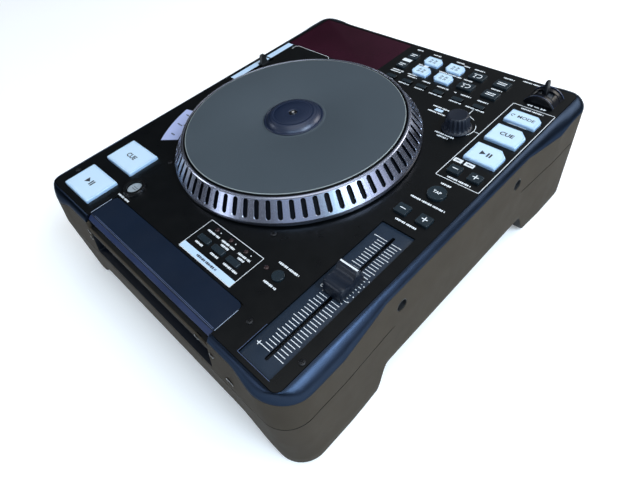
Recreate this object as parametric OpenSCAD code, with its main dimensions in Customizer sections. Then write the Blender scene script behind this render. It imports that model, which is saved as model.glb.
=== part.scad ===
// Tabletop disc player with a motor-driven platter and a front disc slot.
// Millimetres. X runs to the right, Y to the back, Z up from the table.

/* [Case] */
// Width of the case across its corner blocks
body_w = 292; // [290:1:304]
// Depth of the case across its corner blocks
body_d = 343; // [341:1:360]
// Height of the top panel above the table
deck_h = 95; // [93:1:104]
// Radius of the four upright corners of the case
corner_r = 20; // [16:1:24]
// Thickness of the case walls
wall = 2.5; // [2:0.1:3]
// Height of the case floor above the table, between the feet
belly_z = 24; // [20:1:26]
// Length of the flat of each foot along the sides
foot_len = 73.5; // [66:0.5:80]
// Width of the flat of each foot along the front
foot_wid = 27; // [24:1:32]
// How far the waist leans in at the sides
side_lean = 3.7; // [2:0.1:4.2]
// How far the waist leans in at the front and back
front_lean = 5; // [3:0.1:5.5]
// How far the parting line lies below the panel
parting_drop = 34; // [32:1:36]
// Diameter of each rubber pad under a foot
pad_d = 18; // [12:1:22]
// How far the rubber pads stand out of the feet
pad_out = 1.5; // [1:0.1:2.5]

/* [Top cover and panel] */
// Height of the glossy rim over the waist
rim_h = 5; // [4.5:0.1:6]
// Height of the glossy rim at the corner blocks
rim_corner_h = 10; // [8:0.5:12]
// Length of the deep rim at each corner, along the sides
rim_corner_len = 71; // [60:1:80]
// Length of the deep rim at each corner, along the front
rim_corner_wid = 36; // [30:1:42]
// Width of the glossy rim beside the panel
rim_side_w = 9.1; // [8.6:0.1:9.6]
// Width of the glossy rim before and behind the panel
rim_front_w = 9.3; // [8.8:0.1:9.8]
// Thickness of the flat panel
panel_t = 1.5; // [1:0.1:2]
// Width of the ledge that carries the panel
ledge_w = 2.4; // [1.8:0.1:2.6]
// Depth of the slot cover's flat part
cover_d = 23; // [20:1:25]
// Depth of the display window
window_d = 58.5; // [56:0.5:60]

/* [Platter] */
// Platter axis, to the right of the middle
platter_x = -10.2; // [-12:0.2:-8]
// Platter axis, behind the middle
platter_y = -5.3; // [-7:0.2:-3]
// Diameter of the platter at its lower rim
platter_d = 197; // [190:1:198]
// Diameter of the platter's upper edge
platter_top_d = 177; // [174:1:180]
// Height of the platter's upper edge above the panel
platter_h = 17; // [15:0.2:20]
// Number of slots in the platter's sloping skirt
slot_count = 72; // [60:12:84]
// Width of each skirt slot
slot_w = 3; // [2:0.1:3.4]
// Gap between the scratch disc and the platter's rim
disc_gap = 1.45; // [1:0.05:2]
// Thickness of the scratch disc
disc_t = 2; // [1.6:0.1:3]
// Diameter of the hub cap
hub_d = 46.6; // [40:0.2:52]
// Height of the hub cap above the scratch disc
hub_h = 4.8; // [4:0.1:7]
// Diameter of the spindle
spindle_d = 6; // [5:0.1:6.4]

/* [Controls] */
// Travel of the fader
fader_travel = 100; // [90:1:104]
// Length of the fader knob along its travel
fader_knob_l = 22; // [18:0.5:24]
// Width of the fader knob
fader_knob_w = 15; // [12:0.5:17]
// Height of the fader knob above the panel
fader_knob_h = 12.5; // [10:0.5:14]
// How far the fader knob rests behind the middle of its travel
fader_rest = 8; // [0:1:12]
// Travel of each button
button_travel = 1.2; // [0.8:0.1:1.5]
// Height of the large buttons above the panel
big_button_h = 2.5; // [2:0.1:3.5]
// Height of the small buttons above the panel
small_button_h = 1.3; // [1:0.1:2]
// Diameter of the parameter knob at its foot
knob_d = 23; // [20:0.5:24]
// Height of the parameter knob
knob_h = 12.5; // [10:0.5:15]
// Height of the bend lever above the panel
lever_h = 17; // [14:0.5:19]
// Height of the lever's saddle above the panel
saddle_h = 7.5; // [6:0.1:8]
// Height of the side slide lever above the panel
slide_h = 9.5; // [7:0.5:12]
// Travel of the side slide lever, end to end
slide_travel = 16; // [10:1:18]

/* [Disc slot and drive] */
// Middle of the disc slot, to the right of the middle
slot_x = 4; // [2:1:6]
// Width of the disc slot
slot_open_w = 128; // [124:1:132]
// Height of the disc slot
slot_open_h = 5.5; // [5:0.1:6.5]
// How far the disc slot lies below the panel
slot_drop = 22; // [21:0.5:23]
// Width of the recessed bay around the slot
bay_w = 149; // [140:1:152]
// Height of the recessed bay
bay_h = 19; // [17:0.5:20]
// Travel of the optical pickup
pickup_travel = 30; // [26:1:32]

/* [Fits] */
// Gap round each button in the panel
button_gap = 0.3; // [0.2:0.05:0.5]
// Gap of each lid or insert in its seat
seat_gap = 0.15; // [0.1:0.05:0.3]
// Radial clearance of each shaft in its bore
shaft_gap = 0.05; // [0.03:0.01:0.08]
// Gap between parts that slide over each other
slide_gap = 0.3; // [0.25:0.05:0.4]

/* [Hidden] */
$fn = 64;
cut = 1;
s_steps = 10;

panel_w = body_w - 2 * rim_side_w;
panel_d = body_d - 2 * rim_front_w;
parting_z = deck_h - parting_drop;
slot_z = deck_h - slot_drop;
case_top = deck_h - rim_h;
corner_top = deck_h - rim_corner_h;
panel_bot = deck_h - panel_t;
front_y = -panel_d / 2;
rear_y = panel_d / 2;
right_x = panel_w / 2;
left_x = -panel_w / 2;
cavity_w = body_w - 2 * (side_lean + wall);
cavity_d = body_d - 2 * (front_lean + wall);
cavity_r = 12;
floor_top = belly_z + wall;
foot_side_run = 14;
foot_front_run = 28;
groove_h = 0.9;
groove_end = 77;
panel_r = 5;
rim_r = 9;
pad_x = body_w / 2 - foot_wid / 2;
pad_y = body_d / 2 - foot_len / 2;

// Screws
screw_r = 1.5;
screw_head_r = 2.8;
screw_head_t = 1.6;
panel_screw_r = 1.2;
panel_head_r = 2.1;
panel_head_t = 0.9;
panel_screw_l = 7;
side_screw_y = 67.5;
side_screw_z = parting_z + 13;
side_bore_r = 4.5;
side_seat_x = body_w / 2 - 8.5;
belly_seat_z = belly_z + 3.5;
boss_r = 5;
PANEL_SCREWS = [
    [right_x - 3.3, front_y + 22],
    [right_x - 44.9, front_y + 20],
    [right_x - 84.3, front_y + 74.3],
    [left_x + 64.1, front_y + 73.9],
    [left_x + 6.7, front_y + 20.4]
];

// Boards and switches
board_t = 1.6;
key_top = deck_h - 10.4;
key_bot = key_top - board_t;
board_z = floor_top + 6;
tact_h = 3;
tact_w = 6;
flange_t = 1;
flange_w = 1.2;
stem_r = 2;
stem_bot = key_top + tact_h + button_travel + slide_gap;
led_r = 1.5;

// Columns and rows of the controls, from the panel's edges
fader_x = right_x - 20.5;
pan_left = 15;
pan_right = 11.5;
pan_half = fader_travel / 2 + 12.2;
fader_y = front_y + 3.5 + pan_half;
pan_top = panel_bot;
pan_t = 1.5;
pan_edge = ledge_w + slide_gap;
fader_slot_w = 2.4;
fader_end = fader_travel / 2 + 5.5;
frame_x = right_x - 17;
row_1 = rear_y - 18.7;
row_2 = rear_y - 36.4;
row_3 = rear_y - 55.5;
left_col = left_x + 32.7;
knob_x = right_x - 52.5;
knob_y = rear_y - 87.3;
encoder_r = 3;
lever_x = right_x - 18.4;
lever_y = rear_y - 19.2;
slide_x = left_x + 12.9;
slide_y = rear_y - 104.2;
cover_x0 = left_x + 63.3;
cover_x1 = right_x - 56.5;
cover_x = (cover_x0 + cover_x1) / 2;
cover_w = cover_x1 - cover_x0;
cover_y = front_y + 2.2 + cover_d / 2;
lip_out = 1.4;
lip_z = case_top + 1;
window_x0 = left_x + 3.3;
window_x1 = right_x - 159;
window_x = (window_x0 + window_x1) / 2;
window_w = window_x1 - window_x0;
window_y = rear_y - 2.2 - window_d / 2;
ring_x = left_x + 68.9;
ring_y = front_y + 38.2;
ring_h = 3.2;
key_x1 = right_x - 118.3;
key_x2 = right_x - 103;
key_x3 = right_x - 87.3;
key_y = front_y + 41.5;
led_y = front_y + 52.4;
// The rows between the fader and the play button share the room that is left
room_y0 = fader_y + pan_half;
room_y1 = rear_y - 114.4;
bend_row = room_y0 + (room_y1 - room_y0) * 0.185;
tap_row = room_y0 + (room_y1 - room_y0) * 0.495;
plus_row = room_y0 + (room_y1 - room_y0) * 0.825;

// Platter stack
platter_r = platter_d / 2;
platter_top_r = platter_top_d / 2;
rim_lip = 1.3;
platter_z = deck_h + 1.5;
disc_r = platter_top_r - rim_lip - disc_gap;
skirt_z = deck_h + 5;
platter_deck = deck_h + platter_h;
disc_z = platter_deck + slide_gap;
disc_top = disc_z + disc_t;
rim_top = disc_top - 0.5;
skirt_angle = atan2(rim_top - skirt_z, platter_r - platter_top_r);
spindle_r = spindle_d / 2;
shaft_r = spindle_r + 3;
bearing_r = shaft_r + 4;
hub_bore_r = shaft_r + 2;
web_z = platter_deck - 5;
deck_t = 2.5;

// Bend lever
saddle_c = 12.5;
saddle_len = 19;
saddle_t = 2;
saddle_r = (saddle_c * saddle_c + saddle_h * saddle_h) / (2 * saddle_h);
pivot_z = deck_h + saddle_h - saddle_r;
shield_r = saddle_r - saddle_t - 0.5;
lever_pin_r = 1.5;

// Disc drive
load_d = 120;
deck_low = slot_z - 2.7;
deck_high = slot_z + 2.7;
drive_z = slot_z - 18;
drive_top = slot_z + 6.5;
drive_half = 68;
drive_front = -cavity_d / 2 + 6;
load_y = drive_front + load_d / 2 + 3;
sled_y = load_y + 25;
drive_back = sled_y + pickup_travel + 19;
drive_t = 1.5;
roller_r = 3.6;
roller_y = drive_front + 7;
rod_r = 1.5;
rod_z = slot_z - 11;
rod_x = 20;
turn_r = 14;

// Sockets at the back
socket_x1 = cavity_w / 2 - 14.8;
socket_x0 = socket_x1 - 155;
socket_z0 = floor_top + 4.5;
socket_z1 = socket_z0 + 26;
socket_y = body_d / 2 - 12.5;
socket_mid = (socket_z0 + socket_z1) / 2;
inlet_x = socket_x1 - 17;
switch_x = socket_x1 - 47;
JACKS = [for (k = [0 : 3]) socket_x1 - 71 - 16 * k];
MINI_JACKS = [for (k = [0 : 1]) socket_x1 - 133 - 12 * k];

// Boards inside
power_x0 = -cavity_w / 2 + 9.8;
power_x1 = power_x0 + 98;
main_x0 = power_x1 + 12;
main_x1 = cavity_w / 2 - 11.8;
board_y0 = drive_back + 13;
board_y1 = socket_y - 15;
BOARD_FEET = [
    for (x = [power_x0 + 6, power_x1 - 6, main_x0 + 6, main_x1 - 6])
        for (y = [board_y0 + 6, board_y1 - 6]) [x, y]
];
BELLY_SCREWS = [
    [-70, drive_back + 22], [78, drive_back + 22], [-78, load_y], [92, load_y],
    [0, socket_y - 6.5], [-cavity_w / 2 + 30, socket_y - 6.5]
];

// Buttons: name, x, y, width, depth, height, shape
// shape 0 is a rectangle, 1 is round, 2 has two clipped corners, 3 has one
BUTTONS = [
    ["deck_play_button", left_col, front_y + 19, 37.6, 27, big_button_h, 0],
    ["deck_cue_button", left_col, front_y + 57, 37.6, 27, big_button_h, 0],
    ["round_button", ring_x, ring_y, 12, 12, 1.2, 1],
    ["mode_key_1", key_x1, key_y, 11.5, 4.6, small_button_h, 0],
    ["mode_key_2", key_x2, key_y, 11.5, 4.6, small_button_h, 0],
    ["mode_key_3", key_x3, key_y, 11.5, 4.6, small_button_h, 0],
    ["range_button", right_x - 55.9, led_y, 8.6, 8.6, small_button_h, 1],
    ["bend_minus_button", right_x - 31, bend_row, 9.6, 8.8, 2, 0],
    ["bend_plus_button", right_x - 13.6, bend_row, 9.6, 8.8, 2, 0],
    ["tap_button", right_x - 22, tap_row, 13.6, 13.6, 2, 1],
    ["mode_button", frame_x - 0.4, rear_y - 52.5, 25.2, 15, big_button_h, 3],
    ["cue_button", frame_x, rear_y - 77, 25.2, 20.4, big_button_h, 3],
    ["play_button", frame_x, rear_y - 104.2, 25.2, 20.4, big_button_h, 3],
    ["minus_button", frame_x - 9, plus_row, 9.6, 8, 2, 0],
    ["plus_button", frame_x + 7, plus_row, 9.6, 8, 2, 0],
    ["row_button_1", right_x - 141.2, row_3, 10, 4.6, small_button_h, 0],
    ["row_button_2", right_x - 124, row_3, 10, 4.6, small_button_h, 0],
    ["row_button_3", right_x - 109.1, row_3, 10, 4.6, small_button_h, 0],
    ["row_button_4", right_x - 91.9, row_3, 10, 4.6, small_button_h, 0],
    ["row_button_5", right_x - 73.4, row_3, 10, 4.6, small_button_h, 0],
    ["row_button_6", right_x - 53.7, row_3, 10, 4.6, small_button_h, 0],
    ["hot_button_1", right_x - 123.1, row_1, 16.6, 12.6, 2, 2],
    ["hot_button_2", right_x - 100.1, row_1, 16.6, 12.6, 2, 2],
    ["hot_button_3", right_x - 123.1, row_2, 16.6, 12.6, 2, 2],
    ["hot_button_4", right_x - 100.1, row_2, 16.6, 12.6, 2, 2],
    ["loop_button_1", right_x - 77.6, row_1, 13.6, 9.6, 1.8, 0],
    ["loop_button_2", right_x - 77.6, row_2, 13.6, 9.6, 1.8, 0],
    ["disc_button_1", right_x - 54.8, row_1, 13.2, 9.6, 1.8, 0],
    ["disc_button_2", right_x - 54.8, row_2, 13.2, 9.6, 1.8, 0],
    ["page_button_1", right_x - 144.4, row_1, 9.4, 8, 1.8, 0],
    ["page_button_2", right_x - 144.4, row_2, 9.4, 8, 1.8, 0]
];
LEDS = [
    [key_x1, led_y], [key_x2, led_y], [key_x3, led_y], [right_x - 66.9, led_y]
];

// ---------------------------------------------------------------- helpers

// A rectangle with four true round corners
module rounded(w, d, r) {
    square([w - 2 * r, d], center = true);
    square([w, d - 2 * r], center = true);
    for (sx = [-1, 1]) {
        for (sy = [-1, 1]) {
            translate([sx * (w / 2 - r), sy * (d / 2 - r)]) circle(r = r);
        }
    }
}

// An upright block with round corners between two heights
module slab(w, d, r, z0, z1) {
    translate([0, 0, z0]) linear_extrude(z1 - z0) rounded(w, d, r);
}

// A box given by its two opposite corners
module block(p, q) {
    translate(p) cube([q[0] - p[0], q[1] - p[1], q[2] - p[2]]);
}

// An upright cylinder between two heights
module post(x, y, r, z0, z1) {
    translate([x, y, z0]) cylinder(r = r, h = z1 - z0);
}

// A cylinder lying along X, and one lying along Y
module rod_along_x(x0, x1, y, z, r) {
    translate([x0, y, z]) rotate([0, 90, 0]) cylinder(r = r, h = x1 - x0);
}
module rod_along_y(y0, y1, x, z, r) {
    translate([x, y0, z]) rotate([-90, 0, 0]) cylinder(r = r, h = y1 - y0);
}

// A profile drawn in X and Z, run along Y between two depths
module along_y(y0, y1) {
    translate([0, y1, 0]) rotate([90, 0, 0]) linear_extrude(y1 - y0) children();
}

// A profile drawn in Y and Z, run along X between two places
module along_x(x0, x1) {
    translate([x0, 0, 0]) rotate([90, 0, 90]) linear_extrude(x1 - x0) children();
}

// The outline of a button cap, grown by g all round
module cap_outline(b, g) {
    w = b[3] + 2 * g;
    d = b[4] + 2 * g;
    clip = min(b[3], b[4]) * 0.28;
    if (b[6] == 1) circle(d = w);
    if (b[6] == 0) rounded(w, d, 0.8 + g);
    if (b[6] == 2) {
        polygon([[-w / 2, d / 2], [w / 2 - clip, d / 2], [w / 2, d / 2 - clip],
                 [w / 2, -d / 2], [-w / 2 + clip, -d / 2], [-w / 2, -d / 2 + clip]]);
    }
    if (b[6] == 3) {
        polygon([[-w / 2, d / 2], [w / 2 - clip, d / 2], [w / 2, d / 2 - clip],
                 [w / 2, -d / 2], [-w / 2, -d / 2]]);
    }
}

// ---------------------------------------------------------------- case

// The S of a foot's shoulder, from u0 at z0 to u1 at z1
function s_curve(u0, z0, u1, z1) = [
    for (i = [0 : s_steps])
        [u0 + (u1 - u0) * i / s_steps, z0 + (z1 - z0) * (1 - cos(180 * i / s_steps)) / 2]
];

// The space between two feet, seen along the wall
module arch(half_len, run) {
    polygon(concat(
        [[-half_len - run, -cut]],
        s_curve(-half_len - run, pad_out, -half_len, belly_z),
        s_curve(half_len, belly_z, half_len + run, pad_out),
        [[half_len + run, -cut]]
    ));
}

// The four corner blocks in plan
module corner_plan() {
    for (sx = [-1, 1]) {
        for (sy = [-1, 1]) {
            translate([sx * body_w / 2 - (sx > 0 ? rim_corner_wid : 0),
                       sy * body_d / 2 - (sy > 0 ? rim_corner_len : 0)])
                square([rim_corner_wid, rim_corner_len]);
        }
    }
}

// What leans away from an upright wall at half width h
module lean_profile(h, lean) {
    polygon([[h, parting_z], [h + cut, parting_z], [h + cut, case_top + cut],
             [h - lean, case_top + cut], [h - lean, case_top]]);
}

module case_body() {
    difference() {
        slab(body_w, body_d, corner_r, pad_out, case_top);
        translate([0, 0, corner_top]) linear_extrude(rim_corner_h) corner_plan();
        for (turn = [0, 180]) {
            rotate([0, 0, turn])
                along_y(-body_d / 2 + rim_corner_len, body_d / 2 - rim_corner_len)
                    lean_profile(body_w / 2, side_lean);
            rotate([0, 0, turn])
                along_x(-body_w / 2 + rim_corner_wid, body_w / 2 - rim_corner_wid)
                    lean_profile(body_d / 2, front_lean);
        }
        along_y(-body_d / 2 - cut, body_d / 2 + cut)
            arch(body_w / 2 - foot_wid - foot_front_run, foot_front_run);
        along_x(-body_w / 2 - cut, body_w / 2 + cut)
            arch(body_d / 2 - foot_len - foot_side_run, foot_side_run);
        // Parting groove round the corners and along the front and back
        difference() {
            slab(body_w + cut, body_d + cut, corner_r, parting_z - groove_h, parting_z);
            slab(body_w - 2 * groove_h, body_d - 2 * groove_h, corner_r - groove_h,
                 parting_z - groove_h, parting_z);
            block([-body_w, -groove_end, 0], [body_w, groove_end, deck_h]);
        }
        // Hollow of the case and of its feet
        slab(body_w - 2 * wall, body_d - 2 * wall, corner_r - wall, floor_top, parting_z - 2);
        slab(cavity_w, cavity_d, cavity_r, parting_z - 2 - cut, case_top + cut);
        intersection() {
            slab(body_w - 2 * wall, body_d - 2 * wall, corner_r - wall,
                 pad_out + wall, floor_top + cut);
            for (sx = [-1, 1]) {
                for (sy = [-1, 1]) {
                    block([sx > 0 ? body_w / 2 - foot_wid + wall : -body_w,
                           sy > 0 ? body_d / 2 - foot_len + wall : -body_d, 0],
                          [sx > 0 ? body_w : wall_left(), sy > 0 ? body_d : wall_front(), floor_top + cut]);
                }
            }
        }
    }
}
function wall_left() = -body_w / 2 + foot_wid - wall;
function wall_front() = -body_d / 2 + foot_len - wall;

// Bosses, stand-offs and pillars on the floor of the case
module case_bosses() {
    for (p = BELLY_SCREWS) {
        post(p[0], p[1], boss_r, belly_z, board_z - 0.5);
    }
    for (p = BOARD_FEET) {
        post(p[0], p[1], 3.5, floor_top - cut, board_z);
    }
    for (sx = [-1, 1]) {
        for (y = [drive_front + 14, drive_back - 12]) {
            post(slot_x + sx * (drive_half - 9), y, boss_r, floor_top - cut, drive_z);
        }
        for (sy = [-1, 1]) {
            rod_along_x(sx > 0 ? side_seat_x - 6 : -body_w / 2 + 2.9,
                        sx > 0 ? body_w / 2 - 2.9 : -side_seat_x + 6,
                        sy * side_screw_y, side_screw_z, side_bore_r + 2);
        }
    }
}
module bottom_case() {
    color([0.31, 0.29, 0.26]) difference() {
        union() {
            case_body();
            case_bosses();
            // Backing of the slot bay and walls of the socket bay
            block([slot_x - bay_w / 2 - wall, -cavity_d / 2 - cut, slot_z - bay_h / 2 - wall],
                  [slot_x + bay_w / 2 + wall, -cavity_d / 2 + 3.5, slot_z + bay_h / 2 + wall]);
            block([socket_x0 - 2, socket_y, socket_z0 - 2],
                  [socket_x1 + 2, body_d / 2 - wall + cut, socket_z1 + 2]);
        }
        block([slot_x - bay_w / 2, -body_d, slot_z - bay_h / 2],
              [slot_x + bay_w / 2, -cavity_d / 2 + 1, slot_z + bay_h / 2]);
        block([slot_x - slot_open_w / 2, -body_d, slot_z - slot_open_h / 2],
              [slot_x + slot_open_w / 2, -cavity_d / 2 + 8, slot_z + slot_open_h / 2]);
        block([socket_x0, socket_y - cut, socket_z0], [socket_x1, body_d, socket_z1]);
        for (p = BELLY_SCREWS) {
            post(p[0], p[1], screw_head_r + 0.5, belly_z - cut, belly_seat_z);
            post(p[0], p[1], screw_r + slide_gap, belly_seat_z - cut, board_z);
        }
        for (sx = [-1, 1]) {
            for (sy = [-1, 1]) {
                rod_along_x(sx > 0 ? side_seat_x : -body_w, sx > 0 ? body_w : -side_seat_x,
                            sy * side_screw_y, side_screw_z, side_bore_r);
                rod_along_x(sx > 0 ? side_seat_x - 7 : -body_w, sx > 0 ? body_w : -side_seat_x + 7,
                            sy * side_screw_y, side_screw_z, screw_r + slide_gap);
            }
        }
    }
}

// ---------------------------------------------------------------- cover, panel

// The rounded rim from an outline at height z0 up to the panel
module rim_dome(w, d, z0) {
    rise = deck_h - z0;
    w1 = panel_w + 1;
    d1 = panel_d + 1;
    hull() {
        for (k = [[0, 0, 0.3], [0.14, 0.5, 0.5], [0.4, 0.8, 0.82], [0.7, 0.95, 0.96], [1, 0.99, 1]]) {
            f = k[0];
            slab(w + (w1 - w) * f, d + (d1 - d) * f, corner_r + (rim_r - corner_r) * f,
                 z0 + rise * k[1], z0 + rise * k[2] + (k[1] == k[2] ? 0.02 : 0), $fn = 32);
        }
    }
}

module top_cover() {
    color([0.06, 0.07, 0.09]) difference() {
        union() {
            rim_dome(body_w - 2 * side_lean, body_d - 2 * front_lean, case_top);
            intersection() {
                rim_dome(body_w, body_d, corner_top);
                translate([0, 0, corner_top - cut])
                    linear_extrude(rim_corner_h + 2 * cut) corner_plan();
            }
        }
        slab(panel_w, panel_d, panel_r, panel_bot, deck_h + cut);
        slab(panel_w - 2 * ledge_w, panel_d - 2 * ledge_w, panel_r - ledge_w,
             corner_top - cut, deck_h);
        // Notch for the slot cover
        block([cover_x0, -body_d, case_top - cut], [cover_x1, front_y - lip_out, deck_h + cut]);
        block([cover_x0, front_y - lip_out - cut, lip_z], [cover_x1, front_y + 2 * ledge_w, deck_h + cut]);
        for (p = PANEL_SCREWS) {
            post(p[0], p[1], panel_screw_r + slide_gap, corner_top - cut, deck_h);
        }
    }
}

// Everything that goes through the panel
module panel_holes() {
    low = pan_top - pan_t - cut;
    tall = deck_h + ring_h + cut - low;
    translate([0, 0, low]) linear_extrude(tall) {
        for (b = BUTTONS) {
            translate([b[1], b[2]]) cap_outline(b, button_gap);
        }
        for (p = PANEL_SCREWS) {
            translate(p) circle(r = panel_screw_r + slide_gap);
        }
        for (p = LEDS) {
            translate(p) circle(r = led_r + slide_gap);
        }
        translate([fader_x, fader_y]) square([fader_slot_w, 2 * fader_end], center = true);
        translate([platter_x, platter_y]) circle(r = bearing_r + slide_gap);
        translate([knob_x, knob_y]) circle(r = encoder_r + 1);
        translate([lever_x, lever_y]) square([19.2, 16.4], center = true);
        translate([slide_x, slide_y]) square([3.2, slide_travel + 8], center = true);
        translate([window_x, window_y]) square([window_w - 3, window_d - 3], center = true);
        translate([cover_x, cover_y - 2]) square([cover_w - 4, cover_d], center = true);
    }
}

module top_panel() {
    color([0.08, 0.08, 0.08]) difference() {
        union() {
            slab(panel_w - 2 * seat_gap, panel_d - 2 * seat_gap, panel_r - seat_gap,
                 panel_bot, deck_h);
            // Pan under the fader's scale, seats of the window and of the slot cover
            block([fader_x - pan_left - 2, front_y + pan_edge, pan_top - pan_t],
                  [fader_x + pan_right + 2, fader_y + pan_half + 2, panel_bot + 0.2]);
            block([left_x + pan_edge, window_y - window_d / 2 - 2, pan_top - pan_t],
                  [window_x + window_w / 2 + 2, window_y + window_d / 2 - 1, panel_bot + 0.2]);
            block([cover_x - cover_w / 2 - 2, front_y + 2 * ledge_w + slide_gap, pan_top - pan_t],
                  [cover_x + cover_w / 2 + 2, cover_y + cover_d / 2 + 2, panel_bot + 0.2]);
            post(ring_x, ring_y, 8.5, panel_bot, deck_h + ring_h);
            for (i = [1 : len(PANEL_SCREWS) - 1]) {
                post(PANEL_SCREWS[i][0], PANEL_SCREWS[i][1], 3, key_top, panel_bot + 0.2);
            }
        }
        panel_holes();
        block([fader_x - pan_left, fader_y - pan_half, pan_top],
              [fader_x + pan_right, fader_y + pan_half, deck_h + cut]);
        block([window_x - window_w / 2, window_y - window_d / 2, panel_bot],
              [window_x + window_w / 2, window_y + window_d / 2, deck_h + cut]);
        block([cover_x - cover_w / 2, front_y - cut, panel_bot],
              [cover_x + cover_w / 2, cover_y + cover_d / 2, deck_h + cut]);
        for (i = [1 : len(PANEL_SCREWS) - 1]) {
            post(PANEL_SCREWS[i][0], PANEL_SCREWS[i][1], panel_screw_r + slide_gap,
                 deck_h - panel_screw_l - slide_gap, deck_h + cut);
        }
    }
}

module slot_cover() {
    color([0.16, 0.19, 0.25]) along_x(cover_x - cover_w / 2 + seat_gap, cover_x + cover_w / 2 - seat_gap)
        polygon([[cover_y + cover_d / 2 - seat_gap, panel_bot],
                 [cover_y + cover_d / 2 - seat_gap, deck_h - 0.3],
                 [front_y + 2.2, deck_h - 0.3],
                 [front_y - lip_out, deck_h - 2.8],
                 [front_y - lip_out, lip_z],
                 [front_y + 2, lip_z],
                 [front_y + 2, panel_bot]]);
}

module display_window() {
    color([0.18, 0.09, 0.13]) translate([window_x, window_y, panel_bot])
        linear_extrude(panel_t - 0.1)
            square([window_w - 2 * seat_gap, window_d - 2 * seat_gap], center = true);
}

module display_module() {
    top = pan_top - pan_t;
    color([0.12, 0.13, 0.12]) {
        block([window_x - window_w / 2 + 3, window_y - window_d / 2, top - 5],
              [window_x + window_w / 2 - 3, window_y + window_d / 2 - 4, top]);
        for (sx = [-1, 1]) {
            for (sy = [-1, 1]) {
                post(window_x + sx * (window_w / 2 - 8), window_y + sy * (window_d / 2 - 9),
                     2.5, key_top, top - 4);
            }
        }
    }
}

// ---------------------------------------------------------------- platter

module platter_ring() {
    color([0.72, 0.72, 0.72]) translate([platter_x, platter_y, 0]) difference() {
        rotate_extrude() polygon([
            [platter_r, platter_z], [platter_r, skirt_z], [platter_top_r, rim_top],
            [platter_top_r - rim_lip, rim_top], [platter_top_r - rim_lip, platter_deck],
            [hub_bore_r, platter_deck], [hub_bore_r, platter_deck - deck_t],
            [platter_top_r - 4, platter_deck - deck_t], [platter_r - 2.8, skirt_z - 0.6],
            [platter_r - 2.8, platter_z]
        ]);
        for (i = [0 : slot_count - 1]) {
            rotate([0, 0, i * 360 / slot_count])
                translate([(platter_r + platter_top_r) / 2, 0, (rim_top + skirt_z) / 2])
                    rotate([0, skirt_angle, 0]) translate([0, 0, -5]) linear_extrude(8) {
                        square([9, slot_w], center = true);
                        translate([4.5, 0]) circle(d = slot_w);
                        translate([-4.5, 0]) circle(d = slot_w);
                    }
        }
    }
}

module platter_rotor() {
    color([0.35, 0.35, 0.37]) translate([platter_x, platter_y, 0]) rotate_extrude() polygon([
        [spindle_r + shaft_gap, deck_h - 12], [shaft_r, deck_h - 12], [shaft_r, web_z],
        [43, web_z], [43, deck_h + 3.5], [47, deck_h + 3.5], [47, platter_deck - deck_t],
        [hub_bore_r - shaft_gap, platter_deck - deck_t], [hub_bore_r - shaft_gap, platter_deck - 0.3],
        [spindle_r + shaft_gap, platter_deck - 0.3]
    ]);
}

module slip_disc() {
    color([0.29, 0.32, 0.35]) translate([platter_x, platter_y, disc_z]) difference() {
        cylinder(r = disc_r, h = disc_t, $fn = 128);
        translate([0, 0, -cut]) cylinder(r = spindle_r + shaft_gap, h = disc_t + 2 * cut);
    }
}

module hub_cap() {
    hub_r = hub_d / 2;
    dome_r = (hub_r * hub_r + hub_h * hub_h) / (2 * hub_h);
    color([0.05, 0.05, 0.06]) translate([platter_x, platter_y, disc_top])
        rotate_extrude() difference() {
            intersection() {
                translate([0, hub_h - dome_r]) circle(r = dome_r, $fn = 256);
                square([hub_r, hub_h + cut]);
            }
            square([spindle_r + shaft_gap, hub_h + cut]);
        }
}

module spindle() {
    color([0.8, 0.8, 0.8]) translate([platter_x, platter_y, 0]) rotate_extrude() polygon([
        [0, deck_h - 13.5], [spindle_r, deck_h - 13.5], [spindle_r, disc_top + hub_h + 0.3],
        [spindle_r - 0.7, disc_top + hub_h + 1], [0, disc_top + hub_h + 1]
    ]);
}

module motor_stator() {
    color([0.5, 0.36, 0.24]) translate([platter_x, platter_y, 0]) difference() {
        union() {
            post(0, 0, bearing_r, deck_h - 11, deck_h + 8);
            post(0, 0, 38, deck_h, deck_h + 1.5);
            for (i = [0 : 11]) {
                rotate([0, 0, i * 30]) {
                    block([24, -3.5, deck_h + 1], [37.5, 3.5, deck_h + 7.5]);
                    block([bearing_r - 1, -1.5, deck_h + 3], [25, 1.5, deck_h + 6]);
                }
            }
        }
        post(0, 0, shaft_r + shaft_gap, deck_h - 20, deck_h + 20);
    }
}

// ---------------------------------------------------------------- controls

module push_button(b) {
    flange_top = panel_bot - slide_gap;
    color([0.74, 0.84, 0.93]) translate([b[1], b[2], 0]) {
        translate([0, 0, flange_top]) linear_extrude(deck_h + b[5] - flange_top) cap_outline(b, 0);
        translate([0, 0, flange_top - flange_t]) linear_extrude(flange_t) cap_outline(b, flange_w);
        post(0, 0, stem_r, stem_bot, flange_top - flange_t + 0.1);
    }
}

module fader_knob() {
    y = fader_y + fader_rest;
    half = fader_knob_l / 2;
    low = pan_top + 0.7;
    top = deck_h + fader_knob_h;
    color([0.13, 0.16, 0.22]) {
        along_x(fader_x - fader_knob_w / 2, fader_x + fader_knob_w / 2) polygon([
            [y - half, low], [y + half, low], [y + half - 1.2, low + 5.5], [y + half - 3.5, top],
            [y + 1, top - 0.6], [y - 2, top - 3.6], [y - half + 4.2, top - 2.2], [y - half + 1, top - 6]
        ]);
        block([fader_x - 0.7, y - 2.5, deck_h - 8], [fader_x + 0.7, y + 2.5, low + 1]);
        block([fader_x - 1.6, y - 4.5, deck_h - 9], [fader_x + 1.6, y + 4.5, deck_h - 5]);
    }
}

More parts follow.
